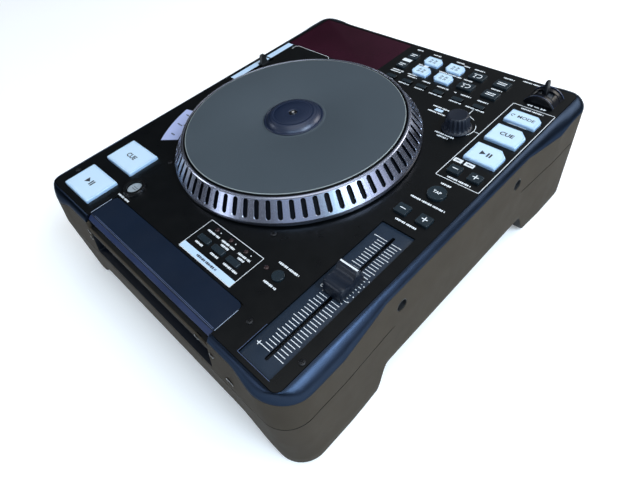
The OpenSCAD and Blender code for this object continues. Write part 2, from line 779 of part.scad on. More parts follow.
module fader_unit() {
    top = pan_top - pan_t;
    color([0.5, 0.5, 0.52]) difference() {
        block([fader_x - 6, fader_y - fader_end - 3, top - 11], [fader_x + 6, fader_y + fader_end + 3, top]);
        block([fader_x - 2.2, fader_y - fader_end, top - 8.5], [fader_x + 2.2, fader_y + fader_end, top + cut]);
    }
}

module parameter_knob() {
    color([0.14, 0.17, 0.22]) translate([knob_x, knob_y, 0]) {
        difference() {
            translate([0, 0, deck_h + slide_gap]) rotate_extrude() polygon([
                [0, 0], [knob_d / 2, 0], [knob_d / 2, 1.4], [knob_d / 2 - 1.3, 2.2],
                [knob_d / 2 - 3.2, knob_h - 1], [knob_d / 2 - 4.2, knob_h - slide_gap], [0, knob_h - slide_gap]
            ]);
            for (i = [0 : 17]) {
                rotate([0, 0, i * 20]) post(knob_d / 2 - 0.8, 0, 0.9, deck_h + 2.2, deck_h + knob_h + 1);
            }
        }
        post(0, 0, encoder_r, key_top + 1.5, deck_h + 1);
    }
}

// A wedge of the saddle's circle, a degrees to each side of upright
module lever_sector(a) {
    far = 40;
    polygon([[0, pivot_z], [-far * sin(a), pivot_z + far * cos(a)],
             [far * sin(a), pivot_z + far * cos(a)]]);
}

module bend_lever() {
    top = deck_h + lever_h;
    color([0.08, 0.08, 0.09]) translate([lever_x, lever_y, 0]) difference() {
        union() {
            intersection() {
                difference() {
                    rod_along_y(-5.2, 5.2, 0, pivot_z, shield_r);
                    rod_along_y(-6, 6, 0, pivot_z, shield_r - 2);
                }
                along_y(-5.2, 5.2) lever_sector(34);
            }
            block([-1.4, -3, pivot_z], [1.4, 3, pivot_z + shield_r - 1]);
            rod_along_y(-5.2, 5.2, 0, pivot_z, 3.2);
            along_y(-3, 3) polygon([
                [-2.1, pivot_z + shield_r - 1], [2.1, pivot_z + shield_r - 1],
                [1.3, top - 1], [0.7, top], [-0.7, top], [-1.3, top - 1]
            ]);
        }
        rod_along_y(-6, 6, 0, pivot_z, lever_pin_r + shaft_gap);
    }
}

module lever_saddle() {
    half = saddle_len / 2;
    color([0.08, 0.08, 0.09]) translate([lever_x, lever_y, 0]) {
        difference() {
            intersection() {
                rod_along_y(-half, half, 0, pivot_z, saddle_r);
                block([-saddle_c, -half, deck_h], [saddle_c, half, deck_h + saddle_h + cut]);
            }
            rod_along_y(-half + 1.6, half - 1.6, 0, pivot_z, saddle_r - saddle_t);
            along_y(-3.5, 3.5) lever_sector(30);
        }
        for (s = [-1, 1]) {
            block([-3.5, s > 0 ? 6 : -7.6, pivot_z - 2.6], [3.5, s > 0 ? 7.6 : -6, pivot_z + saddle_r - 1.9]);
        }
        rod_along_y(-7, 7, 0, pivot_z, lever_pin_r);
    }
}

module slide_lever() {
    color([0.08, 0.08, 0.09]) translate([slide_x, slide_y, 0]) {
        block([-3.4, -4.4, deck_h + slide_gap], [3.4, 4.4, deck_h + 1.8]);
        along_x(-1.7, 1.7) polygon([
            [-3.6, deck_h + 1.5], [3.6, deck_h + 1.5], [2.2, deck_h + slide_h - 0.6],
            [1.6, deck_h + slide_h], [-1.6, deck_h + slide_h], [-2.2, deck_h + slide_h - 0.6]
        ]);
        block([-1, -3, deck_h - 7.5], [1, 3, deck_h + 1]);
    }
}

// ---------------------------------------------------------------- boards

module key_board() {
    color([0.1, 0.28, 0.16]) {
        difference() {
            block([left_x + 6, front_y + 7, key_bot], [right_x - 6, rear_y - 7, key_top]);
            block([fader_x - 9, front_y, key_bot - cut], [right_x, fader_y + pan_half + 3, key_top + cut]);
            post(platter_x, platter_y, bearing_r + 4, key_bot - cut, key_top + cut);
            block([lever_x - 11, lever_y - 9, key_bot - cut], [lever_x + 11, lever_y + 9, key_top + cut]);
            for (i = [1 : len(PANEL_SCREWS) - 1]) {
                post(PANEL_SCREWS[i][0], PANEL_SCREWS[i][1], panel_screw_r + 0.5, key_bot - cut, key_top + cut);
            }
        }
        for (b = BUTTONS) {
            translate([b[1], b[2], key_top]) linear_extrude(tact_h) square(tact_w, center = true);
        }
        for (p = LEDS) {
            post(p[0], p[1], led_r, key_top, deck_h + 0.4);
        }
        // Encoder of the parameter knob and pot of the slide lever
        difference() {
            block([knob_x - 6, knob_y - 6, key_top], [knob_x + 6, knob_y + 6, deck_h - 3.4]);
            post(knob_x, knob_y, encoder_r + shaft_gap, key_top + 1.2, deck_h);
        }
        difference() {
            block([slide_x - 4, slide_y - slide_travel / 2 - 6, key_top],
                  [slide_x + 4, slide_y + slide_travel / 2 + 6, key_top + 5]);
            block([slide_x - 1.5, slide_y - slide_travel / 2 - 4, key_top + 1.2],
                  [slide_x + 1.5, slide_y + slide_travel / 2 + 4, key_top + 6]);
        }
    }
}

// A component on a board, w by d by h, with its near left corner at x, y
module chip(x, y, w, d, h) {
    block([x, y, board_z + board_t - 0.1], [x + w, y + d, board_z + board_t + h]);
}

module main_board() {
    top = board_z + board_t;
    color([0.1, 0.28, 0.16]) {
        block([main_x0, board_y0, board_z], [main_x1, board_y1, top]);
        chip(main_x0 + 54, board_y0 + 48, 28, 28, 2.5);
        chip(main_x0 + 20, board_y0 + 68, 22, 22, 2.5);
        chip(main_x1 - 44, board_y0 + 54, 20, 14, 2.5);
        chip(main_x0 + 20, board_y0 + 16, 40, 6, 8);
        chip(main_x1 - 58, board_y0 + 16, 40, 6, 8);
        for (x = [main_x0 + 20, main_x0 + 34, main_x0 + 48, main_x1 - 38, main_x1 - 24]) {
            post(x, board_y1 - 28, 4, board_z + 1, top + 11);
        }
        for (x = [main_x0 + 24, main_x0 + 36, main_x1 - 36]) {
            post(x, board_y0 + 44, 3, board_z + 1, top + 8);
        }
    }
}

module power_supply() {
    top = board_z + board_t;
    color([0.55, 0.42, 0.22]) {
        block([power_x0, board_y0, board_z], [power_x1, board_y1, top]);
        chip(power_x0 + 18, board_y0 + 58, 50, 44, 3);
        chip(power_x0 + 22, board_y0 + 62, 42, 36, 26);
        chip(power_x0 + 14, board_y0 + 16, 4, 40, 22);
        for (y = [22, 40]) {
            post(power_x0 + 38, board_y0 + y, 8, board_z + 1, top + 24);
            post(power_x0 + 68, board_y0 + y, 6, board_z + 1, top + 20);
        }
        chip(power_x0 + 12, board_y1 - 24, 22, 14, 10);
        chip(power_x0 + 70, board_y1 - 28, 16, 18, 14);
    }
}

// ---------------------------------------------------------------- disc drive

module loader_chassis() {
    motor_r = 11;
    color([0.62, 0.63, 0.65]) translate([slot_x, 0, 0]) difference() {
        union() {
            block([-drive_half, drive_front, drive_z], [drive_half, drive_back, drive_z + drive_t]);
            block([-drive_half, drive_front, drive_top - drive_t], [drive_half, drive_back, drive_top]);
            for (s = [-1, 1]) {
                block([s > 0 ? drive_half - drive_t : -drive_half, drive_front, drive_z],
                      [s > 0 ? drive_half : -drive_half + drive_t, drive_back, drive_top]);
                // Guides under and over the disc's edge
                block([s > 0 ? 62.5 : -drive_half + 1, drive_front + 14, deck_low - 3],
                      [s > 0 ? drive_half - 1 : -62.5, drive_back, deck_low]);
                block([s > 0 ? 62.5 : -drive_half + 1, drive_front + 14, deck_high],
                      [s > 0 ? drive_half - 1 : -62.5, drive_back, deck_high + 2]);
                // Guide rods of the pickup
                rod_along_y(load_y - 22, drive_back - 2, s * rod_x, rod_z, rod_r);
                block([s * rod_x - 3, load_y - 24, drive_z], [s * rod_x + 3, load_y - 21, rod_z + 3]);
                block([s * rod_x - 3, drive_back - 4, drive_z], [s * rod_x + 3, drive_back - 1, rod_z + 3]);
            }
            post(0, load_y, motor_r, drive_z, slot_z - 6.5);
        }
        post(0, load_y, 1.5 + shaft_gap, drive_z + 3, slot_z);
        // Window over the disc
        post(0, load_y, 40, drive_top - 3, drive_top + cut);
        for (s = [-1, 1]) {
            rod_along_x(s > 0 ? 60 : -80, s > 0 ? 80 : -60, roller_y, deck_low - 0.2 - roller_r, 1.5 + shaft_gap);
        }
    }
}

module loader_roller() {
    z = deck_low - 0.2 - roller_r;
    color([0.1, 0.1, 0.1]) {
        rod_along_x(slot_x - 60, slot_x + 60, roller_y, z, roller_r);
        rod_along_x(slot_x - drive_half + 0.3, slot_x + drive_half - 0.3, roller_y, z, 1.5);
    }
}

module disc_turntable() {
    low = slot_z - 6;
    color([0.15, 0.15, 0.16]) translate([slot_x, load_y, 0]) {
        post(0, 0, turn_r, low, low + 1.2);
        translate([0, 0, low + 1]) cylinder(r1 = 7.3, r2 = 6.2, h = deck_low - 0.1 - low - 1);
        post(0, 0, 1.5, drive_z + 3.5, low + 0.5);
    }
}

module pickup_sled() {
    top = slot_z - 6.5;
    color([0.2, 0.2, 0.22]) translate([slot_x, sled_y, 0]) difference() {
        union() {
            block([-rod_x - 4, -9, drive_z + 3], [rod_x + 4, 11, top]);
            post(0, 0, 4.5, top - cut, deck_low - 1);
        }
        for (s = [-1, 1]) {
            rod_along_y(-20, 20, s * rod_x, rod_z, rod_r + shaft_gap);
        }
    }
}

// ---------------------------------------------------------------- back

module rear_sockets() {
    color([0.12, 0.12, 0.13]) difference() {
        union() {
            block([socket_x0 - 2, socket_y - 1.6, socket_z0 - 2], [socket_x1 + 2, socket_y, socket_z1 + 2]);
            block([inlet_x - 14, socket_y - 14, socket_mid - 10.5], [inlet_x + 14, socket_y + 2, socket_mid + 10.5]);
            block([switch_x - 7, socket_y - 13, socket_mid - 7], [switch_x + 7, socket_y + 1, socket_mid + 7]);
            for (x = JACKS) {
                block([x - 5.5, socket_y - 8, socket_mid - 6], [x + 5.5, socket_y + 0.8, socket_mid + 6]);
                rod_along_y(socket_y, socket_y + 9, x, socket_mid, 4.15);
            }
            for (x = MINI_JACKS) {
                block([x - 4.5, socket_y - 9, socket_mid - 4.5], [x + 4.5, socket_y + 0.8, socket_mid + 4.5]);
                rod_along_y(socket_y, socket_y + 3, x, socket_mid, 3.6);
            }
        }
        block([inlet_x - 11.5, socket_y - 12, socket_mid - 8], [inlet_x + 11.5, socket_y + 3, socket_mid + 8]);
        block([switch_x - 4.9, socket_y - 11, socket_mid - 4.9], [switch_x + 4.9, socket_y + 2, socket_mid + 4.9]);
        for (x = JACKS) {
            rod_along_y(socket_y - 6, socket_y + 10, x, socket_mid, 1.7);
        }
        for (x = MINI_JACKS) {
            rod_along_y(socket_y - 8, socket_y + 4, x, socket_mid, 1.8);
        }
    }
    color([0.8, 0.8, 0.8]) {
        for (x = [-7, 0, 7]) {
            block([inlet_x + x - 1, socket_y - 13, socket_mid - 0.5 + (x == 0 ? 2 : 0)],
                  [inlet_x + x + 1, socket_y - 2, socket_mid + 3.5 + (x == 0 ? 2 : 0)]);
        }
    }
}

module power_switch() {
    color([0.1, 0.1, 0.1])
        block([switch_x - 4.5, socket_y - 7, socket_mid - 4.5], [switch_x + 4.5, socket_y + 5, socket_mid + 4.5]);
}

module screws() {
    color([0.55, 0.55, 0.57]) {
        for (p = PANEL_SCREWS) {
            post(p[0], p[1], panel_head_r, deck_h, deck_h + panel_head_t);
            post(p[0], p[1], panel_screw_r, deck_h - panel_screw_l, deck_h + 0.1);
        }
        for (p = BELLY_SCREWS) {
            post(p[0], p[1], screw_head_r, belly_seat_z - screw_head_t, belly_seat_z);
            post(p[0], p[1], screw_r, belly_seat_z - 0.1, board_z - 1);
        }
        for (sx = [-1, 1]) {
            for (sy = [-1, 1]) {
                rod_along_x(sx > 0 ? side_seat_x : -side_seat_x - screw_head_t,
                            sx > 0 ? side_seat_x + screw_head_t : -side_seat_x,
                            sy * side_screw_y, side_screw_z, screw_head_r);
                rod_along_x(sx > 0 ? side_seat_x - 8 : -side_seat_x - 0.1,
                            sx > 0 ? side_seat_x + 0.1 : -side_seat_x + 8,
                            sy * side_screw_y, side_screw_z, screw_r);
            }
        }
    }
}

module rubber_feet() {
    color([0.08, 0.08, 0.08]) for (sx = [-1, 1]) {
        for (sy = [-1, 1]) {
            post(sx * pad_x, sy * pad_y, pad_d / 2, 0, pad_out);
        }
    }
}

// ---------------------------------------------------------------- the parts

bottom_case();
top_cover();
top_panel();
slot_cover();
display_window();
display_module();
platter_ring();
platter_rotor();
slip_disc();
hub_cap();
spindle();
motor_stator();
fader_knob();
fader_unit();
parameter_knob();
bend_lever();
lever_saddle();
slide_lever();
main_board();
key_board();
power_supply();
loader_chassis();
loader_roller();
disc_turntable();
pickup_sled();
rear_sockets();
power_switch();
screws();
rubber_feet();
for (b = BUTTONS) {
    push_button(b);
}
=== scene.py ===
"""Looks of a tabletop disc player: meshes, materials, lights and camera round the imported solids."""
from math import acos, atan2, copysign, cos, hypot, pi, radians, sin, sqrt

import bmesh
import bpy
from mathutils import Matrix, Vector


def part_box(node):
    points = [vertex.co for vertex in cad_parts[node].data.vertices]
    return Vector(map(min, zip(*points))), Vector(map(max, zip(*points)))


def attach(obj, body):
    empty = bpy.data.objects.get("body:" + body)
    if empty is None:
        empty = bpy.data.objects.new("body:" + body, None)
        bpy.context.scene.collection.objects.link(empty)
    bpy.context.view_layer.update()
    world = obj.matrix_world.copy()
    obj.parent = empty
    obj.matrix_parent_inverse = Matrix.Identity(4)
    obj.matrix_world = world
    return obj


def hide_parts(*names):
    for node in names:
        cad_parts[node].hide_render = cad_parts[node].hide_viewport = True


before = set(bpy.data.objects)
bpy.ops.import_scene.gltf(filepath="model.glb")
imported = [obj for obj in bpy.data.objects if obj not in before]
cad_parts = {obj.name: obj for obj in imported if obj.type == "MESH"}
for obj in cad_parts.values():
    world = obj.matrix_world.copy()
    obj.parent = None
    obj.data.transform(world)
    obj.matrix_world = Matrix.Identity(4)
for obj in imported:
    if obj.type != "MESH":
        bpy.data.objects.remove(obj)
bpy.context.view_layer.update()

# ------------------------------------------------------------------ sizes
# Everything below is in millimetres until a mesh is made.
MM = 0.001


def box_mm(node):
    low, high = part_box(node)
    return [v / MM for v in low], [v / MM for v in high]


def centre_mm(node):
    low, high = box_mm(node)
    return [(a + b) / 2 for a, b in zip(low, high)]


CASE_LOW, CASE_HIGH = box_mm("bottom_case")
HALF_W, HALF_D = CASE_HIGH[0], CASE_HIGH[1]
CASE_TOP = CASE_HIGH[2]
FOOT_Z = CASE_LOW[2]
DECK = box_mm("top_cover")[1][2]
SEAT = 0.15
PANEL_X = box_mm("top_panel")[1][0] + SEAT
PANEL_Y = box_mm("top_panel")[1][1] + SEAT
PANEL_T = 1.5
INK_Z = DECK + 0.004
INK_T = 0.035

CORNER_R = 20.0
PARTING_Z = DECK - 34.0
GROOVE_H = 0.9
WALL = 2.5
BELLY_Z = 24.0
SIDE_LEAN, SIDE_WAIST = 3.7, 2.0
FLARE_Y, CREASE_Y = 80.0, 122.0
RIM_DIP, REAR_DIP = CASE_TOP - box_mm("top_cover")[0][2], 1.5
FRONT_LEAN = 5.0
CORNER_LEAN, CORNER_GROW = 3.1, 7.0
SIDE_FLAT, SIDE_RUN = 84.0, 14.0
FRONT_FLAT, FRONT_RUN = 91.0, 28.0

# ------------------------------------------------------------------ shapes


def smooth_step(a, b, v):
    t = min(1.0, max(0.0, (v - a) / (b - a)))
    return t * t * (3 - 2 * t)


def mix(a, b, t):
    return a + (b - a) * t


def circle_points(r, n, cx=0.0, cy=0.0, start=0.0):
    return [(cx + r * cos(start + 2 * pi * i / n), cy + r * sin(start + 2 * pi * i / n)) for i in range(n)]


def fillet(points, r, steps=4):
    """A convex outline, anticlockwise, with each corner rounded to radius r."""
    out = []
    n = len(points)
    for i in range(n):
        p, a, b = Vector(points[i]), Vector(points[i - 1]), Vector(points[(i + 1) % n])
        u, v = (a - p).normalized(), (b - p).normalized()
        half = acos(max(-1.0, min(1.0, u.dot(v)))) / 2
        reach = min(r / max(1e-6, sin(half) / cos(half)), (a - p).length * 0.49, (b - p).length * 0.49)
        rr = reach * sin(half) / cos(half)
        mid = p + (u + v).normalized() * (rr / sin(half))
        s, e = p + u * reach - mid, p + v * reach - mid
        turn = atan2(s.x * e.y - s.y * e.x, s.dot(e))
        for k in range(steps + 1):
            t = turn * k / steps
            out.append((mid.x + s.x * cos(t) - s.y * sin(t), mid.y + s.x * sin(t) + s.y * cos(t)))
    return out


def rectangle(w, d, r=0.8, steps=4, cx=0.0, cy=0.0):
    return fillet([(cx - w / 2, cy - d / 2), (cx + w / 2, cy - d / 2), (cx + w / 2, cy + d / 2),
                   (cx - w / 2, cy + d / 2)], r, steps)


def grow(points, g):
    """The outline moved outward by g along its own normals."""
    out = []
    n = len(points)
    for i in range(n):
        a, p, b = Vector(points[i - 1]), Vector(points[i]), Vector(points[(i + 1) % n])
        n1 = Vector((p.y - a.y, a.x - p.x)).normalized()
        n2 = Vector((b.y - p.y, p.x - b.x)).normalized()
        m = n1 + n2
        m = m / max(0.35, m.dot(m) / 2)
        out.append((p.x + m.x * g, p.y + m.y * g))
    return out


class Shape:
    """Points in millimetres and faces, gathered from closed shells, before they become one mesh."""

    def __init__(self):
        self.points = []
        self.faces = []
        self.slots = []

    def add(self, points, faces, slot=0):
        base = len(self.points)
        self.points += [tuple(p) for p in points]
        self.faces += [tuple(i + base for i in f) for f in faces]
        self.slots += [slot] * len(faces)
        return self

    def loft(self, rings, slot=0, loop=False):
        """A skin over rings of equal length: a closed tube, or a torus if loop is set."""
        n = len(rings[0])
        count = len(rings)
        faces = []
        for k in range(count if loop else count - 1):
            a, b = k * n, (k + 1) % count * n
            faces += [(a + i, a + (i + 1) % n, b + (i + 1) % n, b + i) for i in range(n)]
        if not loop:
            faces += [tuple(range(n))[::-1], tuple((count - 1) * n + i for i in range(n))]
        return self.add([p for ring in rings for p in ring], faces, slot)

    def lathe(self, profile, segments=64, cx=0.0, cy=0.0, slot=0, loop=False):
        """A profile of (radius, height) turned about an upright axis."""
        rings = [[(x, y, z) for x, y in circle_points(max(r, 0.001), segments, cx, cy)] for r, z in profile]
        return self.loft(rings, slot, loop)

    def lathe_y(self, profile, segments=32, cx=0.0, cz=0.0, slot=0, loop=False):
        """A profile of (radius, y) turned about an axis along Y."""
        rings = [[(x, y, z) for x, z in circle_points(max(r, 0.001), segments, cx, cz)] for r, y in profile]
        return self.loft(rings, slot, loop)

    def lathe_x(self, profile, segments=32, cy=0.0, cz=0.0, slot=0, loop=False):
        """A profile of (radius, x) turned about an axis along X."""
        rings = [[(x, y, z) for y, z in circle_points(max(r, 0.001), segments, cy, cz)] for r, x in profile]
        return self.loft(rings, slot, loop)

    def prism(self, outline, levels, slot=0):
        """An outline stacked through levels of (growth, height)."""
        return self.loft([[(x, y, z) for x, y in grow(outline, g)] for g, z in levels], slot)

    def block(self, low, high, edge=0.3, slot=0):
        """A box with bevelled edges."""
        w, d = high[0] - low[0], high[1] - low[1]
        cx, cy = (low[0] + high[0]) / 2, (low[1] + high[1]) / 2
        e = min(edge, w / 3, d / 3, (high[2] - low[2]) / 3)
        outline = rectangle(w, d, e, 2, cx, cy)
        return self.prism(outline, [(-e, low[2]), (-e * 0.3, low[2] + e * 0.3), (0, low[2] + e),
                                    (0, high[2] - e), (-e * 0.3, high[2] - e * 0.3), (-e, high[2])], slot)

    def ink(self, outline, z=INK_Z, slot=0, t=INK_T):
        """A thin printed patch with this outline."""
        n = len(outline)
        points = [(x, y, z) for x, y in outline] + [(x, y, z + t) for x, y in outline]
        faces = [tuple(range(n))[::-1], tuple(range(n, 2 * n))]
        faces += [(i, (i + 1) % n, n + (i + 1) % n, n + i) for i in range(n)]
        return self.add(points, faces, slot)

    def stroke(self, path, width, z=INK_Z, slot=0, closed=False):
        """A printed line of one width along a path."""
        n = len(path)
        left, right = [], []
        for i in range(n):
            p = Vector(path[i])
            a = Vector(path[i - 1]) if closed or i > 0 else p
            b = Vector(path[(i + 1) % n]) if closed or i < n - 1 else p
            d1 = (p - a).normalized() if (p - a).length > 1e-6 else (b - p).normalized()
            d2 = (b - p).normalized() if (b - p).length > 1e-6 else d1
            m = Vector((-d1.y - d2.y, d1.x + d2.x))
            m = m / max(0.3, m.dot(m) / 2) * width / 2
            left.append((p.x + m.x, p.y + m.y))
            right.append((p.x - m.x, p.y - m.y))
        points, faces = [], []
        for low in (z, z + INK_T):
            points += [(x, y, low) for x, y in left] + [(x, y, low) for x, y in right]
        for i in range(n if closed else n - 1):
            j = (i + 1) % n
            faces += [(i, n + i, n + j, j), (2 * n + i, 2 * n + j, 3 * n + j, 3 * n + i),
                      (i, j, 2 * n + j, 2 * n + i), (n + j, n + i, 3 * n + i, 3 * n + j)]
        if not closed:
            e = n - 1
            faces += [(0, 2 * n, 3 * n, n), (e, n + e, 3 * n + e, 2 * n + e)]
        return self.add(points, faces, slot)

    def bars(self, x0, x1, y, height=1.5, z=INK_Z, slot=0, letter=1.05):
        """A label of unreadable bars, in place of words."""
        x, k = x0, 0
        while x < x1 - 0.3:
            w = letter * (0.75 + 0.25 * ((k * 5) % 3))
            tall = height * (1.0 if k % 3 else 0.82)
            end = min(x + w, x1)
            self.ink([(x, y - tall / 2), (end, y - tall / 2), (end, y + tall / 2), (x, y + tall / 2)], z,
                     slot)
            x = end + (0.32 if (k + 1) % 6 else 0.9)
            k += 1
        return self

    def text(self, words, size, cx, cy, z, slot=0, stretch=1.0, bold=0.0):
        """Short generic words, as flat letters centred on a place."""
        curve = bpy.data.curves.new("words", "FONT")
        curve.body = words
        curve.size = size
        curve.align_x = "CENTER"
        curve.align_y = "CENTER"
        curve.extrude = INK_T / 2
        curve.offset = bold
        curve.resolution_u = 3
        holder = bpy.data.objects.new("words", curve)
        bpy.context.scene.collection.objects.link(holder)
        bpy.context.view_layer.update()
        mesh = bpy.data.meshes.new_from_object(holder)
        points = [(cx + v.co.x * stretch, cy + v.co.y, z + INK_T / 2 + v.co.z) for v in mesh.vertices]
        self.add(points, [tuple(p.vertices) for p in mesh.polygons], slot)
        bpy.data.objects.remove(holder)
        bpy.data.meshes.remove(mesh)
        return self

    def moved(self, matrix):
        """A copy of the shape, turned and moved."""
        out = Shape()
        out.points = [tuple(matrix @ Vector(p)) for p in self.points]
        out.faces, out.slots = list(self.faces), list(self.slots)
        return out

    def join(self, other):
        base = len(self.points)
        self.points += other.points
        self.faces += [tuple(i + base for i in f) for f in other.faces]
        self.slots += other.slots
        return self


def link_mesh(name, mesh):
    obj = bpy.data.objects.new(name, mesh)
    bpy.context.scene.collection.objects.link(obj)
    return obj


def raw_mesh(name, shape, weld=True):
    mesh = bpy.data.meshes.new(name)
    mesh.from_pydata([(x * MM, y * MM, z * MM) for x, y, z in shape.points], [], shape.faces)
    mesh.polygons.foreach_set("material_index", shape.slots)
    bm = bmesh.new()
    bm.from_mesh(mesh)
    if weld:
        bmesh.ops.remove_doubles(bm, verts=bm.verts, dist=2e-7)
    bmesh.ops.recalc_face_normals(bm, faces=bm.faces)
    bm.to_mesh(mesh)
    bm.free()
    return mesh


def shade(mesh, sharp=32.0):
    """Smooth shading, with the edges that turn by more than sharp degrees kept crisp."""
    bm = bmesh.new()
    bm.from_mesh(mesh)
    for face in bm.faces:
        face.smooth = True
    for edge in bm.edges:
        edge.smooth = len(edge.link_faces) == 2 and edge.calc_face_angle(0.0) < radians(sharp)
    bm.to_mesh(mesh)
    bm.free()


def dress(obj, materials, body, nodes=(), sharp=32.0):
    """Gives a finished mesh its materials and says what it rides on and stands for."""
    shade(obj.data, sharp)
    slots = [p.material_index for p in obj.data.polygons]
    obj.data.materials.clear()
    for m in materials:
        obj.data.materials.append(m)
    obj.data.polygons.foreach_set("material_index", [min(k, len(materials) - 1) for k in slots])
    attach(obj, body)
    if nodes:
        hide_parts(*nodes)
    return obj


def piece(name, shape, materials, body, nodes=(), sharp=32.0, holes=None):
    """One visible piece of the player."""
    obj = link_mesh(name, raw_mesh(name, shape))
    if holes is not None:
        drill(obj, holes)
    return dress(obj, materials, body, nodes, sharp)


def drill(obj, holes):
    """Takes the holes' shape out of a piece."""
    cutter = link_mesh("cutter", raw_mesh("cutter", holes))
    modifier = obj.modifiers.new("holes", "BOOLEAN")
    modifier.operation = "DIFFERENCE"
    modifier.solver = "EXACT"
    modifier.object = cutter
    bpy.context.view_layer.update()
    done = bpy.data.meshes.new_from_object(obj.evaluated_get(bpy.context.evaluated_depsgraph_get()))
    obj.modifiers.clear()
    obj.data = done
    bpy.data.objects.remove(cutter)


def repeat_tree():
    """Geometry nodes that lay out copies of a mesh in a row or round an axis."""
    tree = bpy.data.node_groups.new("repeat", "GeometryNodeTree")
    face = tree.interface
    face.new_socket("Geometry", in_out="INPUT", socket_type="NodeSocketGeometry")
    face.new_socket("Count", in_out="INPUT", socket_type="NodeSocketInt")
    face.new_socket("Turn", in_out="INPUT", socket_type="NodeSocketFloat")
    face.new_socket("Start", in_out="INPUT", socket_type="NodeSocketVector")
    face.new_socket("Step", in_out="INPUT", socket_type="NodeSocketVector")
    face.new_socket("Material", in_out="INPUT", socket_type="NodeSocketMaterial")
    face.new_socket("Geometry", in_out="OUTPUT", socket_type="NodeSocketGeometry")
    add, link = tree.nodes.new, tree.links.new
    into, out = add("NodeGroupInput"), add("NodeGroupOutput")
    index, points = add("GeometryNodeInputIndex"), add("GeometryNodePoints")
    along, place = add("ShaderNodeVectorMath"), add("ShaderNodeVectorMath")
    angle, turn = add("ShaderNodeMath"), add("FunctionNodeAxisAngleToRotation")
    copies, real = add("GeometryNodeInstanceOnPoints"), add("GeometryNodeRealizeInstances")
    weld, paint = add("GeometryNodeMergeByDistance"), add("GeometryNodeSetMaterial")
    along.operation = "SCALE"
    angle.operation = "MULTIPLY"
    turn.inputs["Axis"].default_value = (0, 0, 1)
    weld.inputs["Distance"].default_value = 1e-6
    link(into.outputs["Step"], along.inputs[0])
    link(index.outputs[0], along.inputs["Scale"])
    link(along.outputs[0], place.inputs[0])
    link(into.outputs["Start"], place.inputs[1])
    link(into.outputs["Count"], points.inputs["Count"])
    link(place.outputs[0], points.inputs["Position"])
    link(index.outputs[0], angle.inputs[0])
    link(into.outputs["Turn"], angle.inputs[1])
    link(angle.outputs[0], turn.inputs["Angle"])
    link(points.outputs[0], copies.inputs["Points"])
    link(into.outputs["Geometry"], copies.inputs["Instance"])
    link(turn.outputs[0], copies.inputs["Rotation"])
    link(copies.outputs[0], real.inputs[0])
    link(real.outputs[0], weld.inputs[0])
    link(weld.outputs[0], paint.inputs["Geometry"])
    link(into.outputs["Material"], paint.inputs["Material"])
    link(paint.outputs[0], out.inputs[0])
    return tree


REPEAT = repeat_tree()


def repeated(name, shape, count, paint, body, turn=0.0, start=(0, 0, 0), step=(0, 0, 0), nodes=(),
             sharp=32.0):
    """One piece made of count copies of a shape, each turned and moved by the same step."""
    obj = link_mesh(name, raw_mesh(name, shape))
    modifier = obj.modifiers.new("repeat", "NODES")
    modifier.node_group = REPEAT
    values = {"Count": count, "Turn": turn, "Start": [v * MM for v in start],
              "Step": [v * MM for v in step], "Material": paint}
    for item in REPEAT.interface.items_tree:
        if item.in_out == "INPUT" and item.name in values:
            modifier[item.identifier] = values[item.name]
    obj.update_tag()
    bpy.context.view_layer.update()
    done = bpy.data.meshes.new_from_object(obj.evaluated_get(bpy.context.evaluated_depsgraph_get()))
    obj.modifiers.clear()
    obj.data = done
    return dress(obj, [paint], body, nodes, sharp)


# ------------------------------------------------------------------ materials


def linear(code):
    """A colour written as rrggbb, as linear light."""
    out = []
    for k in (0, 2, 4):
        v = int(code[k:k + 2], 16) / 255
        out.append(v / 12.92 if v <= 0.04045 else ((v + 0.055) / 1.055) ** 2.4)
    return out


def shader(name):
    m = bpy.data.materials.new(name)
    m.use_nodes = True
    return m, m.node_tree, m.node_tree.nodes["Principled BSDF"]


def noise(tree, vector, scale, detail=3.0, flat=False):
    node = tree.nodes.new("ShaderNodeTexNoise")
    node.inputs["Scale"].default_value = scale
    node.inputs["Detail"].default_value = detail
    if flat:
        node.noise_dimensions = "1D"
        tree.links.new(vector, node.inputs["W"])
    else:
        tree.links.new(vector, node.inputs["Vector"])
    return node.outputs["Fac"]


def spread(tree, value, low, high, start=0.3, end=0.7):
    """A texture value mapped from start..end to low..high."""
    node = tree.nodes.new("ShaderNodeMapRange")
    node.inputs["From Min"].default_value = start
    node.inputs["From Max"].default_value = end
    node.inputs["To Min"].default_value = low
    node.inputs["To Max"].default_value = high
    tree.links.new(value, node.inputs["Value"])
    return node.outputs["Result"]


def two_tone(tree, value, dark, light, start=0.3, end=0.7):
    ramp = tree.nodes.new("ShaderNodeValToRGB")
    ramp.color_ramp.elements[0].position = start
    ramp.color_ramp.elements[1].position = end
    ramp.color_ramp.elements[0].color = (*dark, 1)
    ramp.color_ramp.elements[1].color = (*light, 1)
    tree.links.new(value, ramp.inputs["Fac"])
    return ramp.outputs["Color"]


def bump(tree, height, bsdf, strength, distance):
    node = tree.nodes.new("ShaderNodeBump")
    node.inputs["Strength"].default_value = strength
    node.inputs["Distance"].default_value = distance
    tree.links.new(height, node.inputs["Height"])
    tree.links.new(node.outputs["Normal"], bsdf.inputs["Normal"])
    return node


